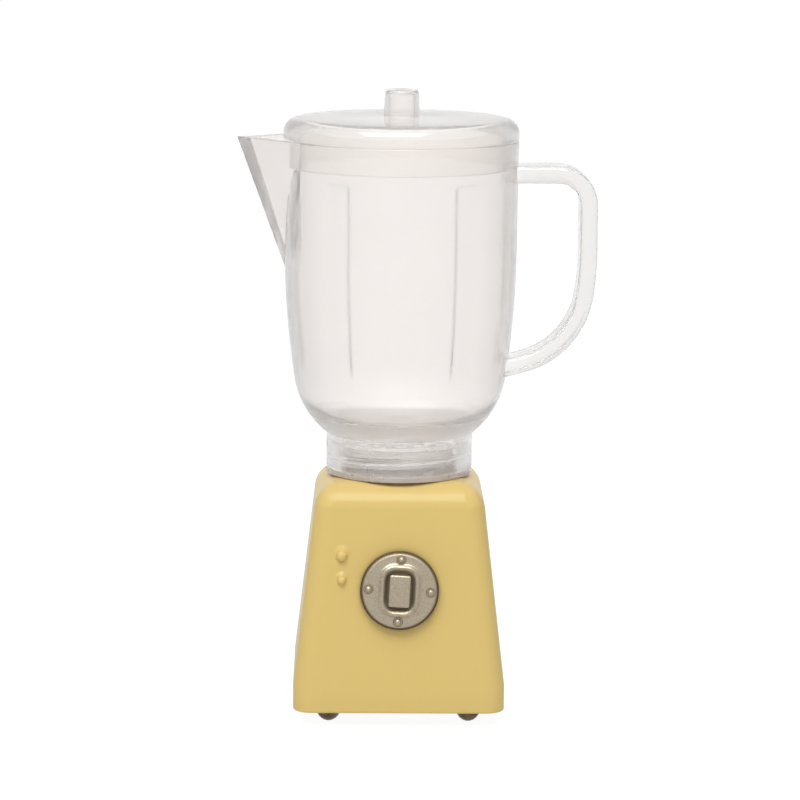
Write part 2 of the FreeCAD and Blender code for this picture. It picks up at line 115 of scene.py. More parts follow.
class JarSizes(bpy.types.PropertyGroup):
    """Sizes of the clear jar"""

    wall: size("Wall", 0.95, "Thickness of the moulded wall")
    neck: size("Neck", 11.65, "Outer radius of the neck")
    bore: size("Bore", 9.5, "Radius of the socket in the neck")
    floor: size("Floor", 46.6, "Height of the floor of the bowl")
    rim: size("Rim", 91.65, "Height of the rim")
    rim_radius: size("Rim radius", 18.65, "Outer radius of the rim")
    rib: size("Rib", 0.34, "How far a rib stands in from the wall")
    strap: size("Strap", 2.75, "Thickness of the handle")
    strap_width: size("Strap width", 7.6, "Width of the handle")


class LidSizes(bpy.types.PropertyGroup):
    """Sizes of the clear lid"""

    edge: size("Edge", 91.78, "Height of the lid's lower edge")
    top: size("Top", 95.35, "Height of the crown at the foot of the knob")
    under: size("Underside", 93.95, "Height of the disc's underside")
    plug: size("Plug", 17.4, "Outer radius of the skirt that pushes into the jar")
    knob: size("Knob", 2.68, "Radius of the knob at its top")


class DialSizes(bpy.types.PropertyGroup):
    """Sizes of the cast dial"""

    radius: size("Radius", 6.2, "Radius of the disc")
    face: size("Face", 1.55, "Height of the disc's face above the casting")
    collar: size("Collar", 0.45, "Rise of the collar above the face")
    pocket: size("Pocket", 0.6, "Depth of the pocket below the collar")
    block: size("Block", 0.9, "Rise of the block above the face")
    turned: angle("Turned", -3, "How far off square the dial was left")


class Finishes(bpy.types.PropertyGroup):
    """Colours of the toy's materials"""

    enamel: tint("Enamel", (0.775, 0.575, 0.196), "Paint of the casting")
    # painted shade: the enamel is darkened towards this colour near other pieces, where shade falls
    grime: tint("Crevices", (0.30, 0.18, 0.07), "What has settled where the casting meets another piece")
    styrene: tint("Clear plastic", (0.978, 0.956, 0.940), "Tint of the jar and the lid")
    frost: tint("Frosted plastic", (0.965, 0.935, 0.905), "Tint of the boss inside the neck")
    ring: tint("Washer", (0.95, 0.90, 0.86), "Tint of the ring under the neck")
    pewter: tint("Pewter", (0.60, 0.52, 0.39), "Bare metal of the dial")
    # patina of the dial's hollows, also used as painted shade round its rim and under its block
    patina: tint("Patina", (0.11, 0.08, 0.045), "Dark finish in the dial's hollows")
    # painted shade: the studs are the dial's kind of metal, coloured darker for the shade under the toy
    brass: tint("Studs", (0.20, 0.15, 0.085), "Darkened metal of the studs")
    steel: tint("Steel", (0.50, 0.49, 0.47), "Screws and washers")
    blacked: tint("Blacked steel", (0.20, 0.165, 0.13), "Screws of the boss")
    primer: tint("Plate", (0.42, 0.34, 0.20), "Finish of the bottom plate")


class StageSettings(bpy.types.PropertyGroup):
    """Camera and light"""

    distance: size("Distance", 640, "From the camera to the middle of the toy")
    elevation: angle("Elevation", 8.9, "Height of the camera above level")
    azimuth: angle("Azimuth", 0.9, "How far the camera stands to the left")
    lean: angle("Lean", 0.45, "Roll of the camera")
    lens: bpy.props.FloatProperty(name="Lens", description="Focal length", default=180, unit="CAMERA")
    sky: bpy.props.FloatProperty(name="Sky", description="Strength of the light from all round", default=0.60)
    key: bpy.props.FloatProperty(name="Key", description="Power of the main lamp", default=4.9, unit="POWER")


class ToyBlender(bpy.types.PropertyGroup):
    """Everything that can be set on the toy"""

    base: bpy.props.PointerProperty(name="Base", description="Casting and studs", type=BaseSizes)
    jar: bpy.props.PointerProperty(name="Jar", description="Clear jar", type=JarSizes)
    lid: bpy.props.PointerProperty(name="Lid", description="Clear lid", type=LidSizes)
    dial: bpy.props.PointerProperty(name="Dial", description="Cast dial", type=DialSizes)
    finishes: bpy.props.PointerProperty(name="Finishes", description="Colours", type=Finishes)
    stage: bpy.props.PointerProperty(name="Stage", description="Camera and light", type=StageSettings)


# --------------------------------------------------------------- modelling steps
def choose(piece):
    """Makes one object the active and the only selected one."""
    bpy.ops.object.select_all(action="DESELECT")
    piece.select_set(True)
    bpy.context.view_layer.objects.active = piece


@contextmanager
def editing(piece, kind="VERT", whole=False):
    """Opens a piece in edit mode with all or nothing selected, and closes it again."""
    choose(piece)
    bpy.ops.object.mode_set(mode="EDIT")
    bpy.ops.mesh.select_mode(type=kind)
    bpy.ops.mesh.select_all(action="SELECT" if whole else "DESELECT")
    yield
    bpy.ops.object.mode_set(mode="OBJECT")


def pick(piece, kind, test):
    """Selects those verts, edges or faces of the open piece that pass a test."""
    bpy.ops.mesh.select_all(action="DESELECT")
    mesh = bmesh.from_edit_mesh(piece.data)
    for item in getattr(mesh, kind):
        if test(item):
            item.select_set(True)
    mesh.select_flush_mode()
    bmesh.update_edit_mesh(piece.data)


def extrude(x=0.0, y=0.0, z=0.0):
    """Extrudes what is selected by a step."""
    bpy.ops.mesh.extrude_region_move(TRANSFORM_OT_translate={"value": (x, y, z)})


def resize(x, y, middle):
    """Scales what is selected in X and Y about a point."""
    bpy.ops.transform.resize(value=(x, y, 1), center_override=middle)


def spin(turn, steps, centre, axis):
    """Spins what is selected; a positive turn follows the right-hand rule."""
    bpy.ops.mesh.spin(steps=steps, angle=-turn, center=centre, axis=axis, use_auto_merge=True)


def seal(piece):
    """Merges doubled points and turns the faces outwards."""
    with editing(piece, whole=True):
        bpy.ops.mesh.remove_doubles(threshold=MERGE)
        bpy.ops.mesh.normals_make_consistent(inside=False)


def settle(piece):
    """Puts an object's place, turn and scale into its mesh."""
    choose(piece)
    bpy.ops.object.transform_apply(location=True, rotation=True, scale=True)


def applied(piece, kind, **settings):
    """Adds a modifier with its settings and applies it."""
    choose(piece)
    modifier = piece.modifiers.new(kind.title(), kind)
    for name, value in settings.items():
        setattr(modifier, name, value)
    bpy.ops.object.modifier_apply(modifier=modifier.name)


def combined(piece, tool, operation):
    """Unites a closed mesh with a piece or cuts it out of it, and uses it up."""
    applied(piece, "BOOLEAN", operation=operation, object=tool, solver="EXACT")
    bpy.data.objects.remove(tool)


def joined(pieces):
    """Makes one object of several that don't touch."""
    choose(pieces[0])
    for piece in pieces[1:]:
        piece.select_set(True)
    bpy.ops.object.join()
    return pieces[0]


def primitive(name, shape, **settings):
    """Adds a plane, cube, cone or cylinder to start a piece from."""
    bpy.ops.object.select_all(action="DESELECT")
    getattr(bpy.ops.mesh, "primitive_%s_add" % shape)(**settings)
    piece = bpy.context.object
    piece.name = piece.data.name = name
    return piece


def arc(start, via, end):
    """Points of the round stretch from start over via to end, without start."""
    (ax, az), (bx, bz), (cx, cz) = start, via, end
    double_area = 2 * (ax * (bz - cz) + bx * (cz - az) + cx * (az - bz))
    a_far, b_far, c_far = ax * ax + az * az, bx * bx + bz * bz, cx * cx + cz * cz
    x = (a_far * (bz - cz) + b_far * (cz - az) + c_far * (az - bz)) / double_area
    z = (a_far * (cx - bx) + b_far * (ax - cx) + c_far * (bx - ax)) / double_area
    first = atan2(az - z, ax - x)
    sweep = (atan2(cz - z, cx - x) - first) % (2 * pi)
    if (atan2(bz - z, bx - x) - first) % (2 * pi) > sweep:
        sweep -= 2 * pi
    radius = hypot(ax - x, az - z)
    count = ceil(max(abs(sweep) / ARC_TURN, radius * abs(sweep) / ARC_RUN))
    turns = [first + sweep * i / count for i in range(1, count + 1)]
    return [(x + radius * cos(turn), z + radius * sin(turn)) for turn in turns]


def outline(start, *steps):
    """Points (r, z) of an outline.  A step is a point, or an arc as (via, end)."""
    points = [start]
    for step in steps:
        if isinstance(step[0], tuple):
            points += arc(points[-1], *step)
        else:
            points.append(step)
    return points


def quarter(start, corner, end):
    """Steps of an outline that round a square corner with a quarter arc."""
    via = tuple(c + (a + b - 2 * c) * ARC_INSET for a, b, c in zip(start, end, corner))
    return start, (via, end)


def softened(points, bends):
    """Rounds the corners of an outline: bends gives a radius by the corner's number."""
    soft = []
    for i, point in enumerate(points):
        if i not in bends:
            soft.append(point)
            continue
        here = Vector(point)
        back = (Vector(points[i - 1]) - here).normalized()
        ahead = (Vector(points[i + 1]) - here).normalized()
        half = back.angle(ahead) / 2
        inset = bends[i] / tan(half)
        middle = here + (back + ahead).normalized() * (bends[i] / sin(half))
        via = middle + (here - middle).normalized() * bends[i]
        first, last = here + back * inset, here + ahead * inset
        soft.append(tuple(first))
        soft += arc(tuple(first), tuple(via), tuple(last))
    return soft


def with_heights(points, *heights):
    """Adds to an outline the points where it passes some heights."""
    for height in heights:
        for i, ((r0, z0), (r1, z1)) in enumerate(zip(points, points[1:])):
            if min(z0, z1) < height - MERGE and max(z0, z1) > height + MERGE:
                share = (height - z0) / (z1 - z0)
                points = points[: i + 1] + [(r0 + (r1 - r0) * share, height)] + points[i + 1 :]
                break
    return points


def drawn(name, points):
    """A row of edges through points (r, z), extruded from a single vertex."""
    piece = primitive(name, "plane", size=MM)
    places = [Vector((r, 0, z)) for r, z in points]
    with editing(piece, whole=True):
        bpy.ops.mesh.merge(type="CENTER")
        bpy.ops.mesh.select_all(action="SELECT")
        bpy.ops.transform.translate(value=places[0])
        for here, there in zip(places, places[1:]):
            bpy.ops.mesh.extrude_vertices_move(TRANSFORM_OT_translate={"value": there - here})
    return piece


def copied(model, name, place):
    """A copy of a model with its own mesh, moved to a place."""
    copy = bpy.data.objects.new(name, model.data.copy())
    bpy.context.scene.collection.objects.link(copy)
    copy.location = place
    settle(copy)
    return copy


def turned(name, points, steps=SMALL_ROUND_STEPS):
    """A solid spun about Z from its outline, which is closed or ends on the axis."""
    piece = drawn(name, points)
    with editing(piece, whole=True):
        spin(2 * pi, steps, (0, 0, 0), UP)
    seal(piece)
    return piece


def pin(name, radius, low, high, x=0.0, y=0.0):
    """An upright round bar, used to cut a hole or to fill one."""
    place = (x, y, (low + high) / 2)
    return primitive(
        name, "cylinder", vertices=SMALL_ROUND_STEPS, radius=radius, depth=high - low, location=place
    )


def rounded_plate(name, width, depth, radius, z, segments):
    """A level face with rounded corners, each of so many segments."""
    piece = primitive(name, "plane", size=1, location=(0, 0, z))
    piece.scale = (width, depth, 1)
    settle(piece)
    with editing(piece, whole=True):
        bpy.ops.mesh.bevel(offset=radius, segments=segments, affect="VERTICES")
    return piece


def dress(piece, material, slot, body, *nodes, crease=30):
    """Smooths a finished piece, gives it its material and puts it on its body."""
    choose(piece)
    bpy.ops.object.shade_smooth_by_angle(angle=radians(crease))
    applied(piece, "WEIGHTED_NORMAL", keep_sharp=True)
    piece.data.materials.clear()
    piece.data.materials.append(material)
    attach(piece, body)
    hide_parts(*nodes)


# -------------------------------------------------------------------- materials
STRAP_STARTS = (18.7 * MM, 19.6 * MM)       # X over which the bowl's wall gives way to the handle
RIM_SHADOW_PAINTED = (5.6 * MM, 6.0 * MM)             # radii over which the dial's skin is darkened as a painted contact shadow round its edge
COLLAR_CREST = (5.5 * MM, 7.4 * MM)         # width and height of the crest of the dial's collar
BLOCK_SHINES = (2.05 * MM, 2.3 * MM)        # heights above the casting over which the block turns bright
FOOT_HAZE_STARTS = (44.5 * MM, 45.0 * MM)   # heights over which the bowl's dull foot starts
FOOT_HAZE_ENDS = (47.0 * MM, 49.6 * MM)     # and runs out
FOOT_ROUGHNESS = 0.34
CREVICE_SHADE_REACH = 1.3 * MM                    # how far from a neighbour the enamel is darkened as painted shade
HOLLOW_REACH = 1.6 * MM                     # and how wide a hollow keeps the dial's dark patina and painted shade
NEAR_SAMPLES = 8                            # rays that look for a neighbour
STYRENE_IOR = 1.49


def node(tree, kind, inputs=(), **settings):
    """Adds a shader node, with values or sockets for its inputs."""
    made = tree.nodes.new(kind)
    for name, value in settings.items():
        setattr(made, name, value)
    for key, value in dict(inputs).items():
        if isinstance(value, bpy.types.NodeSocket):
            tree.links.new(value, made.inputs[key])
        else:
            made.inputs[key].default_value = value
    return made


def opaque(colour):
    """A colour with full alpha."""
    return (*colour, 1)


def object_place(tree):
    """Coordinates that are fixed to the piece."""
    return node(tree, "ShaderNodeTexCoord").outputs["Object"]


def grain(tree, per_metre, detail=2.0, roughness=0.5):
    """Fractal noise on the piece, from 0 to 1."""
    inputs = {"Vector": object_place(tree), "Scale": per_metre, "Detail": detail, "Roughness": roughness}
    return node(tree, "ShaderNodeTexNoise", inputs).outputs["Fac"]


def between(tree, factor, low, high, from_low=0.3, from_high=0.7):
    """A number that goes from low to high as a factor does."""
    inputs = {"Value": factor, "From Min": from_low, "From Max": from_high, "To Min": low, "To Max": high}
    return node(tree, "ShaderNodeMapRange", inputs, interpolation_type="SMOOTHSTEP").outputs["Result"]


def blended(tree, factor, first, second):
    """A colour between two, by a factor."""
    mix = node(tree, "ShaderNodeMix", data_type="RGBA")
    for index, value in ((0, factor), (6, first), (7, second)):
        if isinstance(value, bpy.types.NodeSocket):
            tree.links.new(value, mix.inputs[index])
        else:
            mix.inputs[index].default_value = value
    return mix.outputs[2]


def bumped(tree, height, depth, strength=1.0, under=None):
    """A normal that is tilted by a height of some depth in metres."""
    inputs = {"Height": height, "Distance": depth, "Strength": strength}
    if under:
        inputs["Normal"] = under
    return node(tree, "ShaderNodeBump", inputs).outputs["Normal"]


def material_of(surface, *settings):
    """A material with the name of the function that builds its surface."""
    material = bpy.data.materials.new(surface.__name__)
    material.use_nodes = True
    tree = material.node_tree
    tree.nodes.clear()
    output = node(tree, "ShaderNodeOutputMaterial")
    tree.links.new(surface(tree, *settings).outputs[0], output.inputs["Surface"])
    return material


def principled(tree, **inputs):
    """A Principled shader; an underscore in a name stands for a space."""
    inputs = {name.replace("_", " "): value for name, value in inputs.items()}
    return node(tree, "ShaderNodeBsdfPrincipled", inputs)


def product(tree, first, second):
    """Two numbers multiplied."""
    return node(tree, "ShaderNodeMath", {0: first, 1: second}, operation="MULTIPLY").outputs[0]


def greater(tree, first, second):
    """The greater of two numbers."""
    return node(tree, "ShaderNodeMath", {0: first, 1: second}, operation="MAXIMUM").outputs[0]


def reworked(tree, vector, operation, other=(0, 0, 0)):
    """A vector after some vector operation, with another vector where it takes one."""
    return node(tree, "ShaderNodeVectorMath", {0: vector, 1: other}, operation=operation).outputs[0]


def openness(tree, reach, low, high, from_low, from_high):
    """A number that goes from low, in a tight corner, to high, where nothing is within reach."""
    near = node(tree, "ShaderNodeAmbientOcclusion", {"Distance": reach}, samples=NEAR_SAMPLES)
    return between(tree, near.outputs["AO"], low, high, from_low, from_high)


def glossy_enamel(tree, finishes):
    """Thick glossy enamel over a casting, with faint drift in its colour and painted shade where it meets
    other pieces.
    """
    warm = opaque(Vector(finishes.enamel) * 0.97)
    coat = blended(tree, grain(tree, 1500, detail=5, roughness=0.7), opaque(finishes.enamel), warm)
    # painted shade: darker wherever another piece is near, such as round the dial
    unshaded = openness(tree, CREVICE_SHADE_REACH, 0, 1, 0.15, 0.8)
    peel = bumped(tree, grain(tree, 420, detail=0), depth=0.01 * MM, strength=0.4)
    dips = bumped(tree, grain(tree, 110, detail=0), depth=0.05 * MM, strength=0.3, under=peel)
    return principled(
        tree,
        Base_Color=blended(tree, unshaded, opaque(finishes.grime), coat),
        Roughness=between(tree, grain(tree, 200, detail=1), 0.46, 0.54, 0.1, 0.9),
        IOR=1.5,
        Specular_IOR_Level=0.1,
        Coat_Weight=0.5,
        Coat_Roughness=0.2,
        Normal=dips,
    )


def foot_haze(tree):
    """1 where the bowl's foot is thick and its moulded skin is dull, 0 above and below."""
    height = node(tree, "ShaderNodeSeparateXYZ", {0: object_place(tree)}).outputs["Z"]
    above_neck = between(tree, height, 0, 1, *FOOT_HAZE_STARTS)
    below_side = between(tree, height, 1, 0, *FOOT_HAZE_ENDS)
    return product(tree, above_neck, below_side)


def clear_styrene(tree, finishes):
    """Clear moulded plastic with handling haze, denser where the handle is thick."""
    across = node(tree, "ShaderNodeSeparateXYZ", {0: object_place(tree)}).outputs["X"]
    thick = between(tree, across, 0, 1, *STRAP_STARTS)
    dense = opaque(Vector(finishes.styrene) * 0.97)
    haze = between(tree, grain(tree, 150, detail=1), 0.09, 0.125, 0.1, 0.9)
    dull = product(tree, foot_haze(tree), FOOT_ROUGHNESS)
    return principled(
        tree,
        Base_Color=blended(tree, thick, opaque(finishes.styrene), dense),
        Roughness=greater(tree, haze, dull),
        IOR=STYRENE_IOR,
        Transmission_Weight=0.88,
        Normal=bumped(tree, grain(tree, 90, detail=0), depth=0.02 * MM, strength=0.25),
    )


def frosted_styrene(tree, finishes):
    """The same plastic with a sand-blasted skin, for the boss inside the neck."""
    dull = opaque(Vector(finishes.frost) * 0.96)
    return principled(
        tree,
        Base_Color=blended(tree, grain(tree, 900, detail=3), dull, opaque(finishes.frost)),
        Roughness=between(tree, grain(tree, 500, detail=1), 0.2, 0.3, 0.1, 0.9),
        IOR=STYRENE_IOR,
        Transmission_Weight=0.6,
        Normal=bumped(tree, grain(tree, 1800, detail=2), depth=0.01 * MM, strength=0.5),
    )


def milky_ring(tree, finishes):
    """Translucent soft plastic of the washer."""
    dull = opaque(Vector(finishes.ring) * 0.93)
    return principled(
        tree,
        Base_Color=blended(tree, grain(tree, 240, detail=3), dull, opaque(finishes.ring)),
        Roughness=between(tree, grain(tree, 300, detail=2), 0.24, 0.38),
        IOR=1.47,
        Transmission_Weight=0.65,
        Normal=bumped(tree, grain(tree, 700, detail=2), depth=0.01 * MM, strength=0.5),
    )


def dial_place(tree):
    """Place of a point from the dial's middle: across, up the face and out of it."""
    _, forward, up = DIAL_JOINT["axis"]
    lean = (atan2(-forward, up), 0, 0)
    inputs = {"Vector": object_place(tree), "Location": DIAL_JOINT["pos_m"], "Rotation": lean}
    return node(tree, "ShaderNodeMapping", inputs, vector_type="TEXTURE").outputs["Vector"]


def dial_polish(tree):
    """1 where the dial's skin is rubbed and lit; less at its rim, as painted contact shadow, and in the
    hollow round the block, as patina and the block's painted shadow.
    """
    place = dial_place(tree)
    level = reworked(tree, place, "MULTIPLY", (1, 1, 0))
    radius = node(tree, "ShaderNodeVectorMath", {0: level}, operation="LENGTH").outputs["Value"]
    # painted contact shadow: the disc darkens towards its edge
    rim = between(tree, radius, 1, 0.1, *RIM_SHADOW_PAINTED)
    per_crest = reworked(tree, place, "MULTIPLY", (2 / COLLAR_CREST[0], 2 / COLLAR_CREST[1], 0))
    parts = node(tree, "ShaderNodeSeparateXYZ", {0: reworked(tree, per_crest, "ABSOLUTE")})
    share = greater(tree, parts.outputs["X"], parts.outputs["Y"])
    # patina together with the block's painted shadow in the hollow round it
    hollow_patina_and_shade = between(tree, share, 0.62, 1, 0.72, 1.0)
    height = node(tree, "ShaderNodeSeparateXYZ", {0: place}).outputs["Z"]
    block = between(tree, height, 0, 1, *BLOCK_SHINES)
    return product(tree, rim, greater(tree, hollow_patina_and_shade, block))


def antique_pewter(tree, finishes):
    """Cast metal with a grainy skin, dark with patina and painted shade in its hollows and round its rim, and
    rubbed bright on its edges.
    """
    # patina and painted shade where the dial is hollow or near the casting
    unshaded_bare = openness(tree, HOLLOW_REACH, 0.58, 1, 0.25, 0.95)
    speckle = between(tree, grain(tree, 4600, detail=4, roughness=0.6), 0.74, 1.0, 0.35, 0.62)
    worn_and_unshaded = product(tree, product(tree, unshaded_bare, speckle), dial_polish(tree))
    skin = bumped(tree, grain(tree, 2600, detail=3, roughness=0.65), depth=0.05 * MM, strength=0.45)
    return principled(
        tree,
        Base_Color=blended(tree, worn_and_unshaded, opaque(finishes.patina), opaque(finishes.pewter)),
        Metallic=0.9,
        Roughness=between(tree, worn_and_unshaded, 0.62, 0.36, 0.2, 1.0),
        Normal=skin,
    )


def plain_metal(tree, colour, dulled, metallic, patches, gloss, scratches):
    """Metal that varies a little in colour, gloss and skin.

    dulled is how bright its dull patches are beside the rest.  patches, gloss and scratches
    are noise as (per metre, detail).  gloss adds its least and most roughness, and scratches
    add their depth in metres and their strength.
    """
    dull = opaque(Vector(colour) * dulled)
    return principled(
        tree,
        Base_Color=blended(tree, between(tree, grain(tree, *patches), 0, 1), dull, opaque(colour)),
        Metallic=metallic,
        Roughness=between(tree, grain(tree, *gloss[:2]), *gloss[2:]),
        Normal=bumped(tree, grain(tree, *scratches[:2]), *scratches[2:]),
    )


def dark_brass(tree, finishes):
    """Stud metal, coloured darker than the dial's as painted shade under the toy, polished by sliding on
    tables.
    """
    return plain_metal(
        tree, finishes.brass, dulled=0.55, metallic=0.9,
        patches=(700, 3), gloss=(1500, 2, 0.22, 0.36), scratches=(2400, 2, 0.01 * MM, 0.4),
    )


def plated_steel(tree, colour):
    """Steel of screws and washers, with fine drawn scratches."""
    return plain_metal(
        tree, colour, dulled=0.7, metallic=1.0,
        patches=(900, 4), gloss=(1800, 2, 0.25, 0.42), scratches=(3000, 2, 0.01 * MM, 0.4),
    )


def blacked_steel(tree, colour):
    """The same steel, blacked."""
    return plated_steel(tree, colour)


def plate_lacquer(tree, finishes):
    """Thin lacquer on the stamped bottom plate."""
    return plain_metal(
        tree, finishes.primer, dulled=0.75, metallic=0.5,
        patches=(300, 4), gloss=(800, 3, 0.34, 0.5), scratches=(1400, 2, 0.015 * MM, 0.5),
    )


# ------------------------------------------------------------------------- base
BUMPS = (                     # x, z, ball radius, mound radius
    (-9.1 * MM, 27.1 * MM, 0.84 * MM, 1.36 * MM),
    (-9.1 * MM, 23.3 * MM, 0.70 * MM, 1.02 * MM),
)
MOUND_RISE = 0.40 * MM
MOUND_LIFT = 0.5 * MM         # a mound sits this much above its ball
MOUND_SPREAD = 1.2            # its foot's radius as a share of the mound's own
MOUND_STEPS = 10
MOUND_SUNK = 0.02 * MM        # its edge lies this deep in the face
BUMP_DEPTH = 0.5 * MM         # how deep a mound reaches into the casting
BALL_LIFT = 0.1               # a ball's middle stands out of the face by this share of its radius
BALL_DEPTH = 0.4 * MM
SHOULDER_STEPS = 12
HEM_STEPS = 5
POST_RADIUS = 2.3 * MM        # posts inside that take the plate's screws
POST_X = 12.9 * MM
POST_TOP = 14.0 * MM
POST_HOLE_TOP = 9.6 * MM
SCREW_HOLE = 0.75 * MM
MOUNT_SCREW_X = 3.6 * MM
SPINDLE_HOLE = 1.55 * MM


def front_place(x, z, base):
    """Matrix whose XY plane is the leaning front face, at width x and height z."""
    normal = Vector(DIAL_JOINT["axis"]).normalized()
    climb = (z - base.band) / (BASE_HIGH.z - base.band)
    y = -(BASE_HIGH.x + (base.top_half - BASE_HIGH.x) * climb)
    across = Vector((1, 0, 0))
    turn = Matrix((across, normal.cross(across), normal)).transposed().to_4x4()
    return Matrix.Translation((x, y, z)) @ turn


def standing_edges(edge):
    """True for an edge that climbs."""
    return abs(edge.verts[0].co.z - edge.verts[1].co.z) > MM


def casting_shell(base):
    """Open-bottomed shell: an upright band with a leaning body, its edges rounded."""
    height = base.band - BASE_LOW.z
    shell = primitive("base_casting", "cube", size=1, location=(0, 0, BASE_LOW.z + height / 2))
    shell.scale = (2 * BASE_HIGH.x, 2 * BASE_HIGH.x, height)
    settle(shell)
    with editing(shell, "FACE"):
        pick(shell, "faces", lambda face: face.normal.z < -0.9)
        bpy.ops.mesh.delete(type="ONLY_FACE")
        pick(shell, "faces", lambda face: face.normal.z > 0.9)
        extrude(z=BASE_HIGH.z - base.band)
        taper = base.top_half / BASE_HIGH.x
        resize(taper, taper, (0, 0, BASE_HIGH.z))
    with editing(shell, "EDGE"):
        pick(shell, "edges", standing_edges)
        bpy.ops.transform.edge_bevelweight(value=base.corner / base.shoulder)
        pick(shell, "edges", lambda edge: min(v.co.z for v in edge.verts) > BASE_HIGH.z - MM)
        bpy.ops.transform.edge_bevelweight(value=1)
    applied(
        shell, "BEVEL", limit_method="WEIGHT", width=base.shoulder, segments=SHOULDER_STEPS,
        use_clamp_overlap=False,
    )
    seal(shell)
    applied(shell, "SOLIDIFY", thickness=base.wall, offset=-1, use_even_offset=True)

    def lower_outer_edge(edge):
        if max(v.co.z for v in edge.verts) > BASE_LOW.z + MERGE:
            return False
        away = (edge.verts[0].co + edge.verts[1].co) / 2
        away.z = 0
        return any(face.normal.dot(away.normalized()) > 0.5 for face in edge.link_faces)

    with editing(shell, "EDGE"):
        pick(shell, "edges", lower_outer_edge)
        bpy.ops.mesh.bevel(offset=base.hem, segments=HEM_STEPS, affect="EDGES")
    return shell


def bump(ball_radius, mound_radius, place):
    """A small ball on a low mound, which runs out into the face."""
    foot = MOUND_SPREAD * mound_radius
    slope = []
    for i in range(MOUND_STEPS + 1):
        share = i / MOUND_STEPS
        slope.append((foot * share, MOUND_RISE * (0.5 + 0.5 * cos(pi * share)) - MOUND_SUNK))
    mound = turned("mound", slope + [(foot, -BUMP_DEPTH), (0, -BUMP_DEPTH)])
    for vertex in mound.data.vertices:
        vertex.co.y += MOUND_LIFT
    lift = ball_radius * BALL_LIFT
    top = ball_radius + lift
    dome = quarter((0, top), (ball_radius, top), (ball_radius, lift))
    ball = turned("ball", outline(*dome, (ball_radius, -BALL_DEPTH), (0, -BALL_DEPTH)))
    combined(mound, ball, "UNION")
    mound.matrix_world = place
    settle(mound)
    return mound


class TOYBLENDER_OT_base(bpy.types.Operator):
    """Painted hollow casting with two cast bumps on its front"""

    bl_idname = "toyblender.base"
    bl_label = "Base Casting"
    bl_options = {"REGISTER", "UNDO"}

    def execute(self, context):
        toy = context.scene.toy_blender
        base = toy.base
        shell = casting_shell(base)
        posts = [pin("post", POST_RADIUS, PLATE_HIGH.z, POST_TOP, side * POST_X) for side in (-1, 1)]
        combined(shell, joined(posts), "UNION")
        ceiling = BASE_HIGH.z - base.wall
        top = BASE_HIGH.z + CUT_PAST
        holes = [pin("hole", SCREW_HOLE, BASE_LOW.z, POST_HOLE_TOP, side * POST_X) for side in (-1, 1)]
        for side in (-1, 1):
            holes.append(pin("hole", SCREW_HOLE, ceiling - CUT_PAST, top, side * MOUNT_SCREW_X))
        spindle_hole = pin("hole", SPINDLE_HOLE, -3 * base.wall, CUT_PAST)
        spindle_hole.matrix_world = front_place(0, DIAL_JOINT["pos_m"][2], base) @ spindle_hole.matrix_world
        combined(shell, joined(holes + [spindle_hole]), "DIFFERENCE")
        for x, z, ball_radius, mound_radius in BUMPS:
            combined(shell, bump(ball_radius, mound_radius, front_place(x, z, base)), "UNION")
        dress(shell, material_of(glossy_enamel, toy.finishes), "base_paint", "base", "base_housing")
        return {"FINISHED"}


STUD_FLAT = 0.55 * MM         # radius of the flat at the foot of a dome
STUD_DOME_VIA = (0.8, 0.75 * MM)            # share of the dome's radius, and height
STUD_BAND = 0.5 * MM          # upright band between the dome and the plate
STUD_BEVEL = 0.12 * MM
STUD_SHANK = 0.8 * MM
STUD_HEAD = 1.2 * MM          # the shank is upset over the plate
STUD_HEAD_VIA = (0.98 * MM, 0.48 * MM)
STUD_HEAD_FLAT = 0.5 * MM
STUD_HEAD_RISE = 0.7 * MM


def stud_outline(radius, plate_low, plate_high):
    """Outline of a stud: dome, band, shank through the plate, and upset head."""
    share, dome_z = STUD_DOME_VIA
    head_r, head_z = STUD_HEAD_VIA
    top = plate_high + STUD_HEAD_RISE
    return outline(
        (0, 0), (STUD_FLAT, 0), ((radius * share, dome_z), (radius, plate_low - STUD_BAND)),
        (radius, plate_low - STUD_BEVEL), (radius - STUD_BEVEL, plate_low),
        (STUD_SHANK, plate_low), (STUD_SHANK, plate_high), (STUD_HEAD, plate_high),
        ((head_r, plate_high + head_z), (STUD_HEAD_FLAT, top)), (0, top),
    )


class TOYBLENDER_OT_studs(bpy.types.Operator):
    """Four domed studs that the toy stands on"""

    bl_idname = "toyblender.studs"
    bl_label = "Studs"
    bl_options = {"REGISTER", "UNDO"}

    def execute(self, context):
        toy = context.scene.toy_blender
        model = turned("stud", stud_outline(toy.base.stud, PLATE_LOW.z, PLATE_HIGH.z))
        metal = material_of(dark_brass, toy.finishes)
        for depth in ("front", "rear"):
            for side in ("left", "right"):
                low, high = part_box("foot_%s_%s" % (depth, side))
                place = ((low.x + high.x) / 2, (low.y + high.y) / 2, 0)
                foot = copied(model, "stud_%s_%s" % (depth, side), place)
                dress(foot, metal, "stud_metal", "base", "foot_%s_%s" % (depth, side))
        bpy.data.objects.remove(model)
        return {"FINISHED"}


# ---------------------------------------------------------------- boss and ring
PITCH = 1.75 * MM
MOUNT_RADIUS = 8.55 * MM
MOUNT_CREST = 9.2 * MM
MOUNT_CHAMFER = 0.35 * MM
NECK_CREST = 8.85 * MM
THREAD_START = 0.85 * MM      # start of the boss's ridge above its foot
THREAD_TURNS = {"mount": 1.75, "neck": 1.5}
THREAD_ROOT = 0.9 * MM        # width of a ridge at its wall
THREAD_TIP = 0.5 * MM
THREAD_EMBED = 0.25 * MM
THREAD_ROUND = 0.09 * MM
THREAD_STEPS = 96             # facets in one turn
MOUNT_SCREW_TOP = 40.85 * MM
WASHER_BORE = 9.65 * MM
WASHER_ROUND = 0.15 * MM      # rounding of the ring's outer edges
WASHER_BORE_ROUND = 0.08 * MM


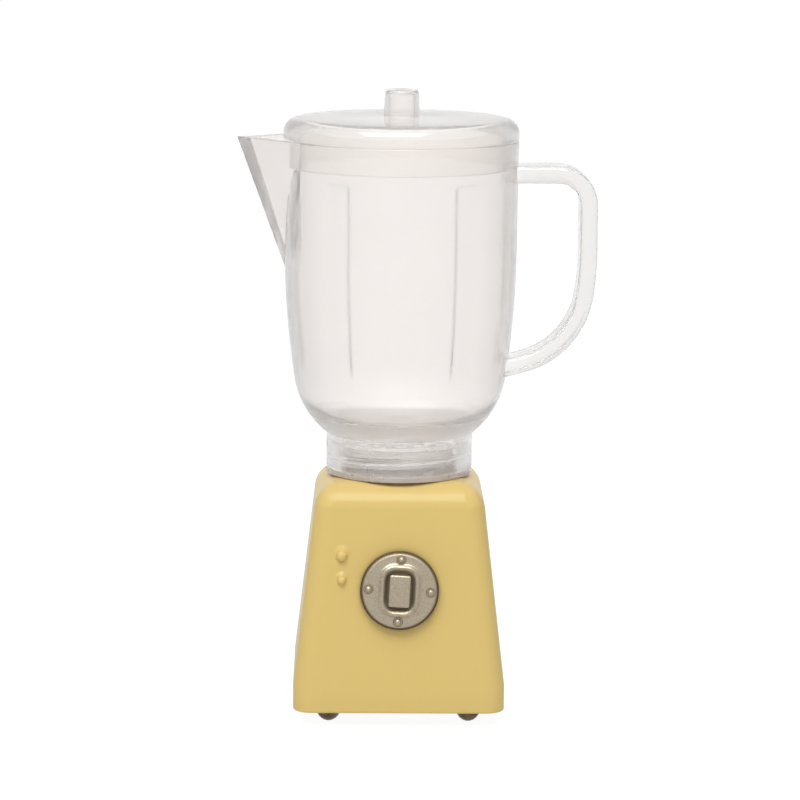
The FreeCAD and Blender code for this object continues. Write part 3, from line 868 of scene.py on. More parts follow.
def thread(name, wall, crest, start, turns):
    """A right-hand ridge that climbs a round wall and reaches a crest radius."""
    foot_r = wall + (THREAD_EMBED if wall > crest else -THREAD_EMBED)
    slope = (THREAD_ROOT - THREAD_TIP) / abs(wall - crest)
    foot = THREAD_ROOT / 2 + slope * THREAD_EMBED / 2
    tip = THREAD_TIP / 2
    corners = [(foot_r, start - foot), (crest, start - tip), (crest, start + tip), (foot_r, start + foot)]
    section = softened(corners, {1: THREAD_ROUND, 2: THREAD_ROUND})
    ridge = drawn(name, section + section[:1])
    seal(ridge)
    steps = round(THREAD_STEPS * turns)
    applied(
        ridge, "SCREW", axis="Z", angle=2 * pi * turns, screw_offset=PITCH * turns,
        steps=steps, render_steps=steps, use_smooth_shade=False,
    )
    with editing(ridge, whole=True):
        bpy.ops.mesh.fill_holes(sides=0)
    seal(ridge)
    return ridge


class TOYBLENDER_OT_mount(bpy.types.Operator):
    """Frosted threaded boss that the jar screws onto"""

    bl_idname = "toyblender.mount"
    bl_label = "Threaded Boss"
    bl_options = {"REGISTER", "UNDO"}

    def execute(self, context):
        toy = context.scene.toy_blender
        low, high = MOUNT_LOW.z, MOUNT_HIGH.z
        body = [(0, low), (MOUNT_RADIUS, low), (MOUNT_RADIUS, high), (0, high)]
        boss = turned("threaded_boss", softened(body, {2: MOUNT_CHAMFER}), ROUND_STEPS)
        ridge = thread("ridge", MOUNT_RADIUS, MOUNT_CREST, low + THREAD_START, THREAD_TURNS["mount"])
        combined(boss, ridge, "UNION")
        start = low - CUT_PAST
        holes = [pin("hole", SCREW_HOLE, start, MOUNT_SCREW_TOP, side * MOUNT_SCREW_X) for side in (-1, 1)]
        combined(boss, joined(holes), "DIFFERENCE")
        dress(boss, material_of(frosted_styrene, toy.finishes), "clear_plastic", "base", "jar_mount")
        return {"FINISHED"}


class TOYBLENDER_OT_washer(bpy.types.Operator):
    """Translucent ring under the neck of the jar"""

    bl_idname = "toyblender.washer"
    bl_label = "Neck Washer"
    bl_options = {"REGISTER", "UNDO"}

    def execute(self, context):
        toy = context.scene.toy_blender
        low, high, radius = WASHER_LOW.z, WASHER_HIGH.z, WASHER_HIGH.x
        loop = [(WASHER_BORE, low), (radius, low), (radius, high), (WASHER_BORE, high), (WASHER_BORE, low)]
        bends = {1: WASHER_ROUND, 2: WASHER_ROUND, 3: WASHER_BORE_ROUND}
        ring = turned("neck_ring", softened(loop, bends), ROUND_STEPS)
        dress(ring, material_of(milky_ring, toy.finishes), "washer_plastic", "washer", "neck_washer")
        return {"FINISHED"}


# -------------------------------------------------------------------------- jar
BOWL_START = 44.75 * MM       # where the bowl leaves the neck
HIP_VIA = (15.05 * MM, 48.6 * MM)
HIP_INWARDS = (0.8, 0.6)      # the inside's hip lies in from the outside's by these shares of the wall
WAIST = (16.75 * MM, 52.9 * MM)
WAIST_VIA = (17.85 * MM, 61.6 * MM)
BODY = (18.45 * MM, 72.5 * MM)
EDGE_ROUND = 0.22 * MM        # rounding of the rim and of the neck's lower edge
RIB_COUNT = 5
RIB_START = radians(-54)      # from +X: the front pair is 36 degrees either side of the front
RIB_HALF = radians(10.2)
RIB_BOTTOM = 52.6 * MM
RIB_TOP = 86.3 * MM
RIB_GENTLE = radians(6.8)     # the outer flank of a rib rises slowly
RIB_STEEP = radians(4.2)      # the one towards the front is steeper, as both are on the rib at the back
RIB_RUN_OUT = 4.5 * MM        # length over which a rib sinks into the wall at its lower end
RIB_END = 1.3 * MM            # and at its upper end
RIB_END_STEPS = 4
CEILING = 45.3 * MM           # underside of the jar's floor
CEILING_R = 9.1 * MM
BORE_STEP = 43.1 * MM         # above this the socket is a little narrower
FLOOR_ROUND = 3.2 * MM        # rounding between the floor and the side
GATE_MIDDLE = (2.4 * MM, -2.2 * MM)         # rough scar of the gate in the floor
GATE_REACH = 4.6 * MM
GATE_FULL = 2.2 * MM
GATE_DEPTH = 1.8 * MM
GATE_WAVE = 1.5 * MM
FLOOR_RINGS = 26              # rings of points that carry the scar
TIP_FOOT = (-18.3 * MM, 70.6 * MM)
SPOUT_ROOT_X = -12.9 * MM
SPOUT_ROOT_Y = 12.75 * MM
SPOUT_WALL_TIP = 2.8 * MM     # wall of the funnel at its tip, measured along X
SPOUT_WALL_FOOT = 1.4 * MM    # at its foot
SPOUT_WALL_ROOT = 1.4 * MM    # and where it runs into the bowl
SPOUT_OVERRUN = 3.0 * MM
SPOUT_ROUND = 0.2 * MM
SPOUT_ROUND_STEPS = 4
HANDLE_TOP = 86.33 * MM
HANDLE_ROOT_X = 17.8 * MM
HANDLE_CORNER = 4.9 * MM
HANDLE_CORNER_STEPS = 20
HANDLE_SIDE_END = 73.6 * MM
HANDLE_BENDS = (              # radius, turn and steps of the gentle lower stretch and of the heel
    (40.0 * MM, radians(10), 6),
    (13.2 * MM, radians(65), 26),
)
HANDLE_FOOT_X = 16.4 * MM
STRAP_ROUND = 0.8 * MM
STRAP_ROUND_STEPS = 6
SOCKET_ROUND = 0.4 * MM       # rounding of the corner between the socket and its ceiling


def bowl_side(inset, low, jar):
    """Outline of the bowl from its foot to where its side is straight, moved inwards."""
    return outline(
        (jar.neck - inset, low),
        (
            (HIP_VIA[0] - inset * HIP_INWARDS[0], HIP_VIA[1] + inset * HIP_INWARDS[1]),
            (WAIST[0] - inset, WAIST[1]),
        ),
        ((WAIST_VIA[0] - inset, WAIST_VIA[1]), (BODY[0] - inset, BODY[1])),
    )


def jar_outside(jar):
    """Solid of the neck and the bowl."""
    low, neck_r, rim_r, rim = JAR_LOW.z, jar.neck, jar.rim_radius, jar.rim
    foot = quarter((neck_r - EDGE_ROUND, low), (neck_r, low), (neck_r, low + EDGE_ROUND))
    lip = quarter((rim_r, rim - EDGE_ROUND), (rim_r, rim), (rim_r - EDGE_ROUND, rim))
    neck = outline((0, low), *foot)
    rim_round = outline(*lip, (0, rim))
    return turned("jar_body", neck + bowl_side(0, BOWL_START, jar) + rim_round, ROUND_STEPS)


def eased(value, start, end):
    """0 at start and beyond, 1 at end and beyond, with a soft run between."""
    share = min(max((value - start) / (end - start), 0), 1)
    return share * share * (3 - 2 * share)


def frozen_flow():
    """Clouds for the wavy plastic round the gate mark."""
    clouds = bpy.data.textures.new("frozen_flow", "CLOUDS")
    clouds.noise_scale = GATE_WAVE
    clouds.noise_depth = 1
    return clouds


def jar_cavity(jar):
    """Solid of the room in the bowl, dented by the ribs and by the wavy floor."""
    side = bowl_side(jar.wall, jar.floor, jar)
    inner_rim = jar.rim_radius - jar.wall
    wide = inner_rim + EDGE_ROUND
    over = jar.rim + CUT_PAST
    lip = [(inner_rim, jar.rim - EDGE_ROUND), (wide, jar.rim), (wide, over)]
    flat = hypot(*GATE_MIDDLE) + GATE_REACH
    foot = [(flat * i / FLOOR_RINGS, jar.floor) for i in range(FLOOR_RINGS + 1)]
    side = softened([foot[-1]] + side, {1: FLOOR_ROUND})[1:]
    ends = [RIB_TOP - RIB_END * i / RIB_END_STEPS for i in range(RIB_END_STEPS + 1)]
    points = with_heights(foot + side + lip, *ends)
    cavity = turned("cavity", points + [(0, over)], CAVITY_STEPS)

    ribs = cavity.vertex_groups.new(name="ribs")
    floor = cavity.vertex_groups.new(name="floor")
    for vertex in cavity.data.vertices:
        x, y, z = vertex.co
        turn = (atan2(y, x) - RIB_START + pi / RIB_COUNT) % (2 * pi / RIB_COUNT) - pi / RIB_COUNT
        turn = -turn if x > 0 else turn
        across = eased(turn, -RIB_HALF, -RIB_HALF + RIB_GENTLE) * eased(turn, RIB_HALF, RIB_HALF - RIB_STEEP)
        along = eased(z, RIB_BOTTOM, RIB_BOTTOM + RIB_RUN_OUT) * eased(z, RIB_TOP, RIB_TOP - RIB_END)
        ribs.add([vertex.index], across * along, "REPLACE")
        from_gate = hypot(x - GATE_MIDDLE[0], y - GATE_MIDDLE[1])
        reach = eased(from_gate, GATE_REACH, GATE_FULL) if z < jar.floor + MERGE else 0
        floor.add([vertex.index], reach, "REPLACE")
    applied(cavity, "DISPLACE", strength=-jar.rib, mid_level=0, direction="NORMAL", vertex_group=ribs.name)
    applied(
        cavity, "DISPLACE", strength=GATE_DEPTH, direction="Z", vertex_group=floor.name,
        texture=frozen_flow(), texture_coords="LOCAL",
    )
    return cavity


def funnel(name, walls, overrun, jar, radius):
    """Three-cornered solid of the spout; with walls taken off it is the spout's inside.

    walls are how far its tip, its foot and its root move in along X, and overrun is how far
    all of it moves up along the ridge.
    """
    tip_wall, foot_wall, root_wall = walls
    tip = Vector((JAR_LOW.x, 0, JAR_HIGH.z))
    foot = Vector((TIP_FOOT[0], 0, TIP_FOOT[1]))
    root = Vector((SPOUT_ROOT_X, 0, jar.rim))
    out = Vector((0, SPOUT_ROOT_Y, 0))
    rise = (tip - foot) * (overrun / (tip - foot).z)
    moves = ((tip, tip_wall), (foot, foot_wall), (root + out, root_wall), (root - out, root_wall))
    corners = [corner + rise + Vector((wall, 0, 0)) for corner, wall in moves]
    piece = primitive(name, "cone", vertices=3, radius1=MM, depth=MM)
    settle(piece)
    with editing(piece):
        for i, corner in enumerate(corners):
            pick(piece, "verts", lambda vert, i=i: vert.index == i)
            mesh = bmesh.from_edit_mesh(piece.data)
            mesh.verts.ensure_lookup_table()
            bpy.ops.transform.translate(value=corner - mesh.verts[i].co)
    seal(piece)

    def meets_tip(edge):
        return any((vert.co - corners[0]).length < MERGE for vert in edge.verts)

    with editing(piece, "EDGE"):
        pick(piece, "edges", meets_tip)
        bpy.ops.mesh.bevel(offset=radius, segments=SPOUT_ROUND_STEPS, affect="EDGES")
    return piece


def strap_handle(jar):
    """Flat strap with rounded edges, bent to a D: straight, corner, side, heel, straight."""
    root = (HANDLE_ROOT_X, 0, HANDLE_TOP)
    piece = primitive("strap", "plane", size=1, rotation=(0, pi / 2, 0), location=root)
    piece.scale = (jar.strap, jar.strap_width, 1)
    settle(piece)
    side_x = JAR_HIGH.x - jar.strap / 2
    corner = Vector((side_x - HANDLE_CORNER, 0, HANDLE_TOP - HANDLE_CORNER))
    across = Vector((0, 1, 0))
    with editing(piece, whole=True):
        bpy.ops.mesh.bevel(offset=STRAP_ROUND, segments=STRAP_ROUND_STEPS, affect="VERTICES")
        bpy.ops.mesh.select_all(action="SELECT")
        extrude(x=corner.x - HANDLE_ROOT_X)
        spin(pi / 2, HANDLE_CORNER_STEPS, corner, across)
        extrude(z=HANDLE_SIDE_END - corner.z)
        here = Vector((side_x, 0, HANDLE_SIDE_END))
        heading = 0.0
        for radius, turn, steps in HANDLE_BENDS:
            inwards = Vector((-cos(heading), 0, sin(heading)))
            centre = here + inwards * radius
            spin(turn, steps, centre, across)
            heading += turn
            here = centre + Vector((cos(heading), 0, -sin(heading))) * radius
        run = here.x - HANDLE_FOOT_X
        extrude(x=-run, z=-run / tan(heading))
    seal(piece)
    return piece


def neck_socket(jar):
    """Solid of the socket in the neck."""
    start = JAR_LOW.z - CUT_PAST
    points = [
        (0, start), (jar.bore, start), (jar.bore, BORE_STEP),
        (CEILING_R, BORE_STEP + jar.bore - CEILING_R), (CEILING_R, CEILING), (0, CEILING),
    ]
    return turned("socket", softened(points, {4: SOCKET_ROUND}), ROUND_STEPS)


class TOYBLENDER_OT_jar(bpy.types.Operator):
    """Clear jar in one moulding: threaded neck, ribbed bowl, spout and handle"""

    bl_idname = "toyblender.jar"
    bl_label = "Jar"
    bl_options = {"REGISTER", "UNDO"}

    def execute(self, context):
        toy = context.scene.toy_blender
        jar = toy.jar
        body = jar_outside(jar)
        combined(body, funnel("spout", (0, 0, 0), 0, jar, SPOUT_ROUND), "UNION")
        combined(body, strap_handle(jar), "UNION")
        room = jar_cavity(jar)
        walls = (SPOUT_WALL_TIP, SPOUT_WALL_FOOT, SPOUT_WALL_ROOT)
        inside = funnel("spout_room", walls, SPOUT_OVERRUN, jar, 2 * SPOUT_ROUND)
        combined(room, inside, "UNION")
        combined(body, room, "DIFFERENCE")
        combined(body, neck_socket(jar), "DIFFERENCE")
        start = MOUNT_LOW.z + THREAD_START + PITCH / 2
        combined(body, thread("ridge", jar.bore, NECK_CREST, start, THREAD_TURNS["neck"]), "UNION")
        dress(body, material_of(clear_styrene, toy.finishes), "clear_plastic", "jar", "jar")
        body.visible_shadow = False
        return {"FINISHED"}


# -------------------------------------------------------------------------- lid
LID_RADIUS = LID_HIGH.x - 0.005 * MM
LID_SIDE_TOP = 92.5 * MM
LID_SHOULDER_VIA = (18.15 * MM, 94.2 * MM)
LID_SHOULDER = (16.6 * MM, 95.0 * MM)
LID_CROWN_VIA = (9.0 * MM, 95.28 * MM)
LID_UNDER_CORNER = 0.2 * MM
LID_UNDER_DOME = 0.35 * MM    # rise of the disc's underside towards its middle, like the crown's
LID_DOME_SHARE = 0.8          # share of that rise under the crown's middle ring
LID_EDGE_ROUND = 0.15 * MM
PLUG_LEAD = 0.3 * MM          # rounding of the skirt's outer lower edge
PLUG_ROOT = 0.1 * MM
KNOB_HOLLOW_ROUND = 0.3 * MM
PLUG_WALL = 1.0 * MM
KNOB_FOOT = 2.85 * MM
KNOB_ROUND = 0.45 * MM
KNOB_HOLLOW = 1.95 * MM
KNOB_HOLLOW_TOP = 98.95 * MM


class TOYBLENDER_OT_lid(bpy.types.Operator):
    """Clear lid in one moulding: disc, skirt and hollow knob"""

    bl_idname = "toyblender.lid"
    bl_label = "Lid"
    bl_options = {"REGISTER", "UNDO"}

    def execute(self, context):
        toy = context.scene.toy_blender
        lid = toy.lid
        inner = lid.plug - PLUG_WALL
        under, low, high = lid.under, LID_LOW.z, LID_HIGH.z
        corners = [
            (0, KNOB_HOLLOW_TOP), (KNOB_HOLLOW, KNOB_HOLLOW_TOP), (KNOB_HOLLOW, under + LID_UNDER_DOME),
            (LID_CROWN_VIA[0], under + LID_DOME_SHARE * LID_UNDER_DOME), (inner, under), (inner, low),
            (lid.plug, low), (lid.plug, lid.edge), (LID_RADIUS, lid.edge), (LID_RADIUS, LID_SIDE_TOP),
        ]
        bends = {
            1: KNOB_HOLLOW_ROUND, 2: LID_EDGE_ROUND, 4: LID_UNDER_CORNER, 5: LID_EDGE_ROUND,
            6: PLUG_LEAD, 7: PLUG_ROOT, 8: LID_EDGE_ROUND,
        }
        inside = softened(corners, bends)
        knob = quarter((lid.knob, high - KNOB_ROUND), (lid.knob, high), (lid.knob - KNOB_ROUND, high))
        crown = outline(
            inside[-1], (LID_SHOULDER_VIA, LID_SHOULDER), (LID_CROWN_VIA, (KNOB_FOOT, lid.top)),
            *knob, (0, high),
        )
        piece = turned("jar_lid", inside[:-1] + crown, ROUND_STEPS)
        dress(piece, material_of(clear_styrene, toy.finishes), "clear_plastic", "lid", "lid")
        piece.visible_shadow = False
        return {"FINISHED"}


# ------------------------------------------------------------------------- dial
DIAL_GAP = 0.15 * MM          # between the dial and the casting
DIAL_EDGE_ROUND = 0.75 * MM
DIAL_BACK_ROUND = 0.15 * MM
DIAL_STEPS = 128
COLLAR_FOOT = (7.0 * MM, 8.7 * MM)
COLLAR_CORNER = 2.5 * MM
COLLAR_CORNER_STEPS = 10
COLLAR_STEPS = 8              # rings in each flank
COLLAR_SUNK = 0.015 * MM      # its outer edge lies this deep in the disc
ROOM_CORNER = 2.0 * MM        # corners of the room that the disc leaves for the pocket
ROOM_CORNER_STEPS = 6
ROOM_DEPTH = 0.95             # as a share of the pocket's depth, so that the two floors don't meet
POCKET = (3.45 * MM, 5.2 * MM)
BLOCK = (3.35 * MM, 5.1 * MM)
BLOCK_CORNER = 0.35 * MM
BLOCK_CORNER_STEPS = 4
BLOCK_ROUND = 0.32 * MM
BLOCK_ROUND_STEPS = 5
BLOCK_DEPTH = 0.2 * MM        # how deep it stands in the pocket's floor
BLOCK_DOME = 0.05 * MM        # rise of the block's top towards its middle
BLOCK_DOME_STEPS = 4
RIVET_RING = 4.9 * MM
RIVET = 0.52 * MM
RIVET_RISE = 0.32 * MM
RIVET_GROOVE = 0.74 * MM
RIVET_GROOVE_DEPTH = 0.14 * MM
RIVET_GROOVE_FOOT = 0.08 * MM               # the groove is this much narrower at its floor
RIVET_GROOVE_KNEE = 0.06 * MM               # depth at which its wall turns outwards
RIVET_GROOVE_LIP = (0.07 * MM, 0.02 * MM)   # how far it is wider, and above what height
RIVET_DOME_VIA = (0.62, 0.66)               # shares of a head's radius and rise
RIVET_STEPS = 32
RIVET_DEPTH = 0.08 * MM       # a head's side starts this deep, inside the groove
RIVET_OVERLAP = 0.1 * MM      # how far cutters and heads go past what they meet
SPINDLE = 1.5 * MM
SPINDLE_END = -2.3 * MM
SPINDLE_BORE_TOP = 0.4 * MM
DIAL_CREASE = 34              # degrees over which an edge of the dial stays sharp


def dial_disc(dial):
    """Disc with a rounded edge, on a bored spindle."""
    points = [
        (0, SPINDLE_BORE_TOP), (SCREW_HOLE, SPINDLE_BORE_TOP), (SCREW_HOLE, SPINDLE_END),
        (SPINDLE, SPINDLE_END), (SPINDLE, DIAL_GAP), (dial.radius, DIAL_GAP),
        (dial.radius, dial.face), (0, dial.face),
    ]
    bends = {3: DIAL_BACK_ROUND, 5: DIAL_BACK_ROUND, 6: DIAL_EDGE_ROUND}
    return turned("cast_dial", softened(points, bends), DIAL_STEPS)


def collar_ring(dial):
    """Soft collar round a pocket: each ring is the last one, extruded and resized."""
    foot = dial.face - dial.pocket
    crest = dial.face + dial.collar
    outer, middle, inner = Vector(COLLAR_FOOT), Vector(COLLAR_CREST), Vector(POCKET)
    rings = [(COLLAR_FOOT, dial.face - COLLAR_SUNK)]
    flanks = ((outer, dial.face, middle, dial.collar), (middle, crest, inner, -dial.pocket))
    for start, z, end, rise in flanks:
        for i in range(1, COLLAR_STEPS + 1):
            share = i / COLLAR_STEPS
            rings.append((start.lerp(end, share), z + rise * (0.5 - 0.5 * cos(pi * share))))
    piece = rounded_plate("collar", *COLLAR_FOOT, COLLAR_CORNER, foot, COLLAR_CORNER_STEPS)
    with editing(piece, "FACE", whole=True):
        size_now, z = COLLAR_FOOT, foot
        for wanted, height in rings:
            extrude(z=height - z)
            resize(wanted[0] / size_now[0], wanted[1] / size_now[1], (0, 0, height))
            size_now, z = wanted, height
    seal(piece)
    return piece


def middle_block(dial):
    """Upright block with rounded edges that stands in the pocket."""
    floor = dial.face + dial.collar - dial.pocket
    top = dial.face + dial.block
    piece = rounded_plate("block", *BLOCK, BLOCK_CORNER, floor - BLOCK_DEPTH, BLOCK_CORNER_STEPS)
    with editing(piece, "FACE", whole=True):
        extrude(z=top - floor + BLOCK_DEPTH)
    seal(piece)
    with editing(piece, "EDGE"):
        pick(piece, "edges", lambda edge: min(v.co.z for v in edge.verts) > top - MERGE)
        bpy.ops.mesh.bevel(offset=BLOCK_ROUND, segments=BLOCK_ROUND_STEPS, affect="EDGES")
    with editing(piece, "FACE"):
        pick(piece, "faces", lambda face: face.calc_center_median().z > top - MERGE)
        for left in range(BLOCK_DOME_STEPS, 0, -1):
            here, there = (cos(pi / 2 * ring / BLOCK_DOME_STEPS) for ring in (left, left - 1))
            extrude(z=BLOCK_DOME * (there - here))
            shrink = (left - 0.5) / (left + 0.5)
            resize(shrink, shrink, (0, 0, top))
    return piece


def rivet_parts(dial):
    """Cutters for the ring grooves, and the domed heads that stand in them."""
    face = dial.face
    floor = face - RIVET_GROOVE_DEPTH
    lip, lip_z = RIVET_GROOVE + RIVET_GROOVE_LIP[0], face + RIVET_GROOVE_LIP[1]
    over, under = face + RIVET_OVERLAP, floor - RIVET_OVERLAP
    groove = [
        (0, floor), (RIVET_GROOVE - RIVET_GROOVE_FOOT, floor), (RIVET_GROOVE, face - RIVET_GROOVE_KNEE),
        (lip, lip_z), (lip, over), (0, over),
    ]
    via = (RIVET * RIVET_DOME_VIA[0], face + RIVET_RISE * RIVET_DOME_VIA[1])
    dome = outline((0, face + RIVET_RISE), (via, (RIVET, face - RIVET_DEPTH)), (RIVET, under), (0, under))
    made = []
    for name, shape in (("groove", groove), ("rivet", dome)):
        model = turned(name, shape, RIVET_STEPS)
        copies = []
        for quarter_turn in range(4):
            turn = quarter_turn * pi / 2
            copies.append(copied(model, name, (RIVET_RING * cos(turn), RIVET_RING * sin(turn), 0)))
        bpy.data.objects.remove(model)
        made.append(joined(copies))
    return made


class TOYBLENDER_OT_dial(bpy.types.Operator):
    """Cast dial with rivet heads, a raised collar and a block in its pocket"""

    bl_idname = "toyblender.dial"
    bl_label = "Dial"
    bl_options = {"REGISTER", "UNDO"}

    def execute(self, context):
        toy = context.scene.toy_blender
        dial = toy.dial
        disc = dial_disc(dial)
        floor = dial.face - ROOM_DEPTH * dial.pocket
        room = rounded_plate("room", *COLLAR_CREST, ROOM_CORNER, floor, ROOM_CORNER_STEPS)
        with editing(room, "FACE", whole=True):
            extrude(z=CUT_PAST)
        seal(room)
        combined(disc, room, "DIFFERENCE")
        combined(disc, collar_ring(dial), "UNION")
        combined(disc, middle_block(dial), "UNION")
        grooves, rivets = rivet_parts(dial)
        combined(disc, grooves, "DIFFERENCE")
        combined(disc, rivets, "UNION")
        place = front_place(0, DIAL_JOINT["pos_m"][2], toy.base)
        disc.matrix_world = place @ Matrix.Rotation(dial.turned, 4, "Z")
        settle(disc)
        pewter = material_of(antique_pewter, toy.finishes)
        dress(disc, pewter, "dial_pewter", "dial", "dial", crease=DIAL_CREASE)
        return {"FINISHED"}


class TOYBLENDER_OT_fittings(bpy.types.Operator):
    """Finishes for the plate, the screws and the washers, which keep their shapes"""

    bl_idname = "toyblender.fittings"
    bl_label = "Plate and Screws"
    bl_options = {"REGISTER", "UNDO"}

    def execute(self, context):
        finishes = context.scene.toy_blender.finishes
        steel = material_of(plated_steel, finishes.steel)
        blacked = material_of(blacked_steel, finishes.blacked)
        coated = {
            "bottom_plate": material_of(plate_lacquer, finishes),
            "plate_screws": steel,
            "mount_screws": blacked,
            "dial_washer": steel,
            "dial_spring_washer": steel,
            "dial_screw": steel,
        }
        for name, material in coated.items():
            for slot in frame["nodes"][name].material_slots:
                slot.material = material
        return {"FINISHED"}


# ------------------------------------------------------------------------ stage
FLOOR_REACH = 4.0             # half the width of the floor
SURROUNDINGS = (              # degrees from +Y towards +X, brightness of the studio on that side
    (-180, 0.76), (-120, 0.72), (-95, 0.62), (-60, 0.72), (-32, 0.80), (-18, 0.88), (-8, 0.93), (-3, 0.95),
    (6, 0.95), (18, 0.93), (32, 0.80), (60, 0.64), (95, 0.68), (120, 0.70), (180, 0.76),
)
HORIZON = 0.90                # brightness of the studio's walls as a share of the floor's
OVERHEAD = 0.84               # brightness of its ceiling
CEILING_RUN = (0.2, 0.7)      # sines of the heights over which the walls turn into the ceiling
PAPER = 0.86                  # how much light the floor gives back
PAPER_GLOW = 1.175            # light that is added so that the floor shows white,
PAPER_GLOW_SHARE = 0.8        # as this share of what the camera sees there
LAMPS = (                     # name, place, width, height, share of the key's power
    ("key", (-0.09, -0.41, 0.74), 0.72, 0.48, 1.0),
    ("top", (0.05, 0.12, 0.90), 0.60, 0.60, 0.15),
)
LAMP_AIM = (0, 0, 0.045)
CAMERA_AIM = (0.08 * MM, 0, 49.78 * MM)
CAMERA_CLIP = (0.05, 20)
SENSOR = 36                   # width in millimetres
BOUNCES = 32                  # enough for light to pass all the clear walls
GLOSSY_BOUNCES = 24


def studio_level(tree, direction):
    """Brightness of the studio by compass direction: white behind the toy, greyer beside it."""
    parts = node(tree, "ShaderNodeSeparateXYZ", {0: direction})
    turn = node(tree, "ShaderNodeMath", {0: parts.outputs["X"], 1: parts.outputs["Y"]}, operation="ARCTAN2")
    share = node(tree, "ShaderNodeMath", {0: turn.outputs[0], 1: 0.5 / pi, 2: 0.5}, operation="MULTIPLY_ADD")
    ramp = node(tree, "ShaderNodeValToRGB", {"Fac": share.outputs[0]})
    stops = ramp.color_ramp.elements
    for i, (degrees, level) in enumerate(SURROUNDINGS):
        stop = stops[i] if i < 2 else stops.new(1.0)
        stop.position = 0.5 + degrees / 360
        stop.color = opaque([level] * 3)
    return ramp.outputs["Color"]


def seen_in_gloss(tree):
    """The node that tells rays apart, and 1 for rays that left a shiny or clear surface."""
    path = node(tree, "ShaderNodeLightPath")
    return path, greater(tree, path.outputs["Is Glossy Ray"], path.outputs["Is Transmission Ray"])


def studio_world(stage):
    """Even light from all round: white to the camera, and brighter in gloss than it lights."""
    world = bpy.data.worlds.new("studio")
    world.use_nodes = True
    tree = world.node_tree
    tree.nodes.clear()
    direction = node(tree, "ShaderNodeTexCoord").outputs["Generated"]
    height = node(tree, "ShaderNodeSeparateXYZ", {0: direction}).outputs["Z"]
    walls = reworked(tree, studio_level(tree, direction), "MULTIPLY", [HORIZON] * 3)
    studio = blended(tree, between(tree, height, 0, 1, *CEILING_RUN), walls, opaque([OVERHEAD] * 3))
    deeper = reworked(tree, studio, "MULTIPLY", studio)
    dimmed = reworked(tree, deeper, "MULTIPLY", [stage.sky] * 3)
    path, gloss = seen_in_gloss(tree)
    unlit = blended(tree, gloss, dimmed, studio)
    shown = blended(tree, path.outputs["Is Camera Ray"], unlit, opaque([1.0] * 3))
    background = node(tree, "ShaderNodeBackground", {"Color": shown, "Strength": 1.0})
    output = node(tree, "ShaderNodeOutputWorld")
    tree.links.new(background.outputs[0], output.inputs["Surface"])
    bpy.context.scene.world = world


def mixed(tree, factor, first, second):
    """A shader between two, by a factor."""
    return node(tree, "ShaderNodeMixShader", {0: factor, 1: first.outputs[0], 2: second.outputs[0]})


def pale_paper(tree):
    """White to the camera with the toy's soft shadow, and the studio's brightness in gloss."""
    path, gloss = seen_in_gloss(tree)
    paper = node(tree, "ShaderNodeBsdfDiffuse", {"Color": opaque([PAPER] * 3)})
    white = node(tree, "ShaderNodeEmission", {"Color": opaque([1.0] * 3), "Strength": PAPER_GLOW})
    plain = mixed(tree, PAPER_GLOW_SHARE, paper, white)
    tone = studio_level(tree, object_place(tree))
    card = node(tree, "ShaderNodeEmission", {"Color": tone, "Strength": 1.0})
    direct = mixed(tree, path.outputs["Is Camera Ray"], paper, plain)
    return mixed(tree, gloss, direct, card)


def studio_floor():
    """Pale floor that the toy stands on."""
    floor = primitive("floor", "plane", size=2 * FLOOR_REACH)
    floor.data.materials.append(material_of(pale_paper))


def studio_lamp(name, place, width, height, power):
    """Soft rectangular lamp that points at the toy and doesn't show through clear plastic."""
    lamp = bpy.data.lights.new(name, "AREA")
    lamp.shape = "RECTANGLE"
    lamp.size, lamp.size_y = width, height
    lamp.energy = power
    holder = bpy.data.objects.new(name, lamp)
    bpy.context.scene.collection.objects.link(holder)
    holder.location = place
    holder.rotation_euler = (Vector(LAMP_AIM) - Vector(place)).to_track_quat("-Z", "Y").to_euler()
    holder.visible_transmission = False


def studio_camera(stage):
    """Long lens, a little above level, in front of the dial."""
    lens = bpy.data.cameras.new("camera")
    lens.lens = stage.lens
    lens.sensor_width = SENSOR
    lens.clip_start, lens.clip_end = CAMERA_CLIP
    camera = bpy.data.objects.new("camera", lens)
    bpy.context.scene.collection.objects.link(camera)
    level = cos(stage.elevation)
    back = Vector((-level * sin(stage.azimuth), -level * cos(stage.azimuth), sin(stage.elevation)))
    camera.location = Vector(CAMERA_AIM) + back * stage.distance
    camera.rotation_mode = "QUATERNION"
    camera.rotation_quaternion = (-back).to_track_quat("-Z", "Y") @ Quaternion((0, 0, 1), stage.lean)
    bpy.context.scene.camera = camera


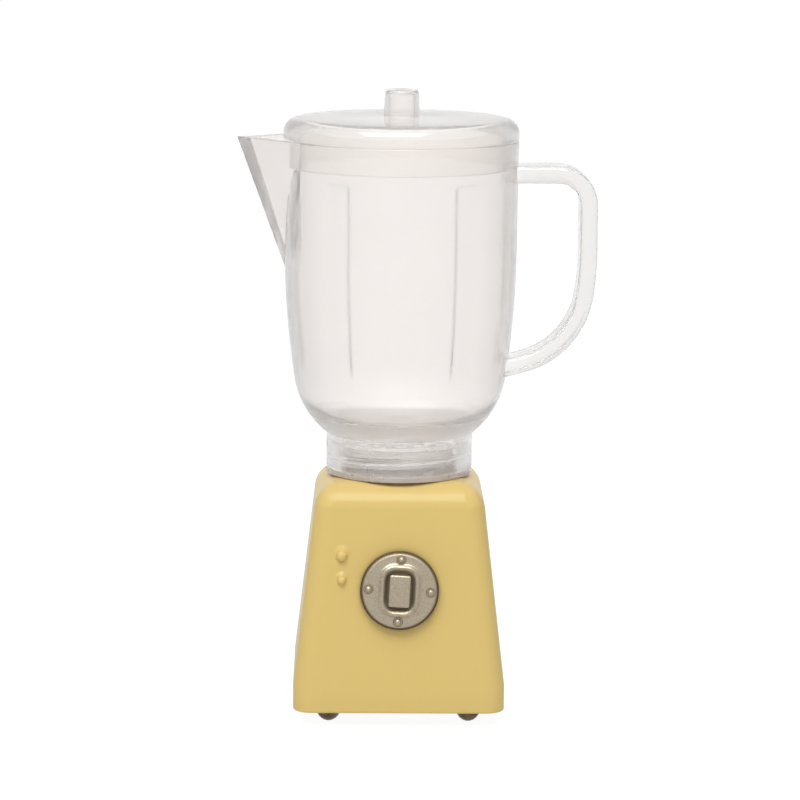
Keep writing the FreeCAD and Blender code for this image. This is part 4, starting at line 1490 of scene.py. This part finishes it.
class TOYBLENDER_OT_stage(bpy.types.Operator):
    """Pale floor, soft lamps and the camera"""

    bl_idname = "toyblender.stage"
    bl_label = "Stage"
    bl_options = {"REGISTER", "UNDO"}

    def execute(self, context):
        scene = context.scene
        stage = scene.toy_blender.stage
        studio_world(stage)
        studio_floor()
        for name, place, width, height, share in LAMPS:
            studio_lamp(name, place, width, height, stage.key * share)
        studio_camera(stage)
        scene.view_settings.view_transform = "Standard"
        scene.cycles.max_bounces = BOUNCES
        scene.cycles.transmission_bounces = BOUNCES
        scene.cycles.glossy_bounces = GLOSSY_BOUNCES
        return {"FINISHED"}


# ------------------------------------------------------------------------ add-on
class TOYBLENDER_PT_panel(bpy.types.Panel):
    """Lists the steps that build the toy"""

    bl_idname = "TOYBLENDER_PT_panel"
    bl_label = "Toy Blender"
    bl_space_type = "VIEW_3D"
    bl_region_type = "UI"
    bl_category = "Toy Blender"

    def draw(self, context):
        for step in STEPS:
            self.layout.operator(step.bl_idname)


STEPS = (
    TOYBLENDER_OT_base,
    TOYBLENDER_OT_studs,
    TOYBLENDER_OT_mount,
    TOYBLENDER_OT_washer,
    TOYBLENDER_OT_jar,
    TOYBLENDER_OT_lid,
    TOYBLENDER_OT_dial,
    TOYBLENDER_OT_fittings,
    TOYBLENDER_OT_stage,
)
GROUPS = (BaseSizes, JarSizes, LidSizes, DialSizes, Finishes, StageSettings, ToyBlender)
CLASSES = GROUPS + STEPS + (TOYBLENDER_PT_panel,)


def register():
    """Registers the classes and the scene's settings for the toy."""
    for kind in CLASSES:
        bpy.utils.register_class(kind)
    bpy.types.Scene.toy_blender = bpy.props.PointerProperty(
        name="Toy Blender", description="Sizes and colours of the toy", type=ToyBlender
    )


def unregister():
    """Takes the settings and the classes away again."""
    del bpy.types.Scene.toy_blender
    for kind in reversed(CLASSES):
        bpy.utils.unregister_class(kind)


def main():
    """Builds every piece and the stage."""
    register()
    bpy.ops.toyblender.base()
    bpy.ops.toyblender.studs()
    bpy.ops.toyblender.mount()
    bpy.ops.toyblender.washer()
    bpy.ops.toyblender.jar()
    bpy.ops.toyblender.lid()
    bpy.ops.toyblender.dial()
    bpy.ops.toyblender.fittings()
    bpy.ops.toyblender.stage()


if __name__ == "__main__":
    main()
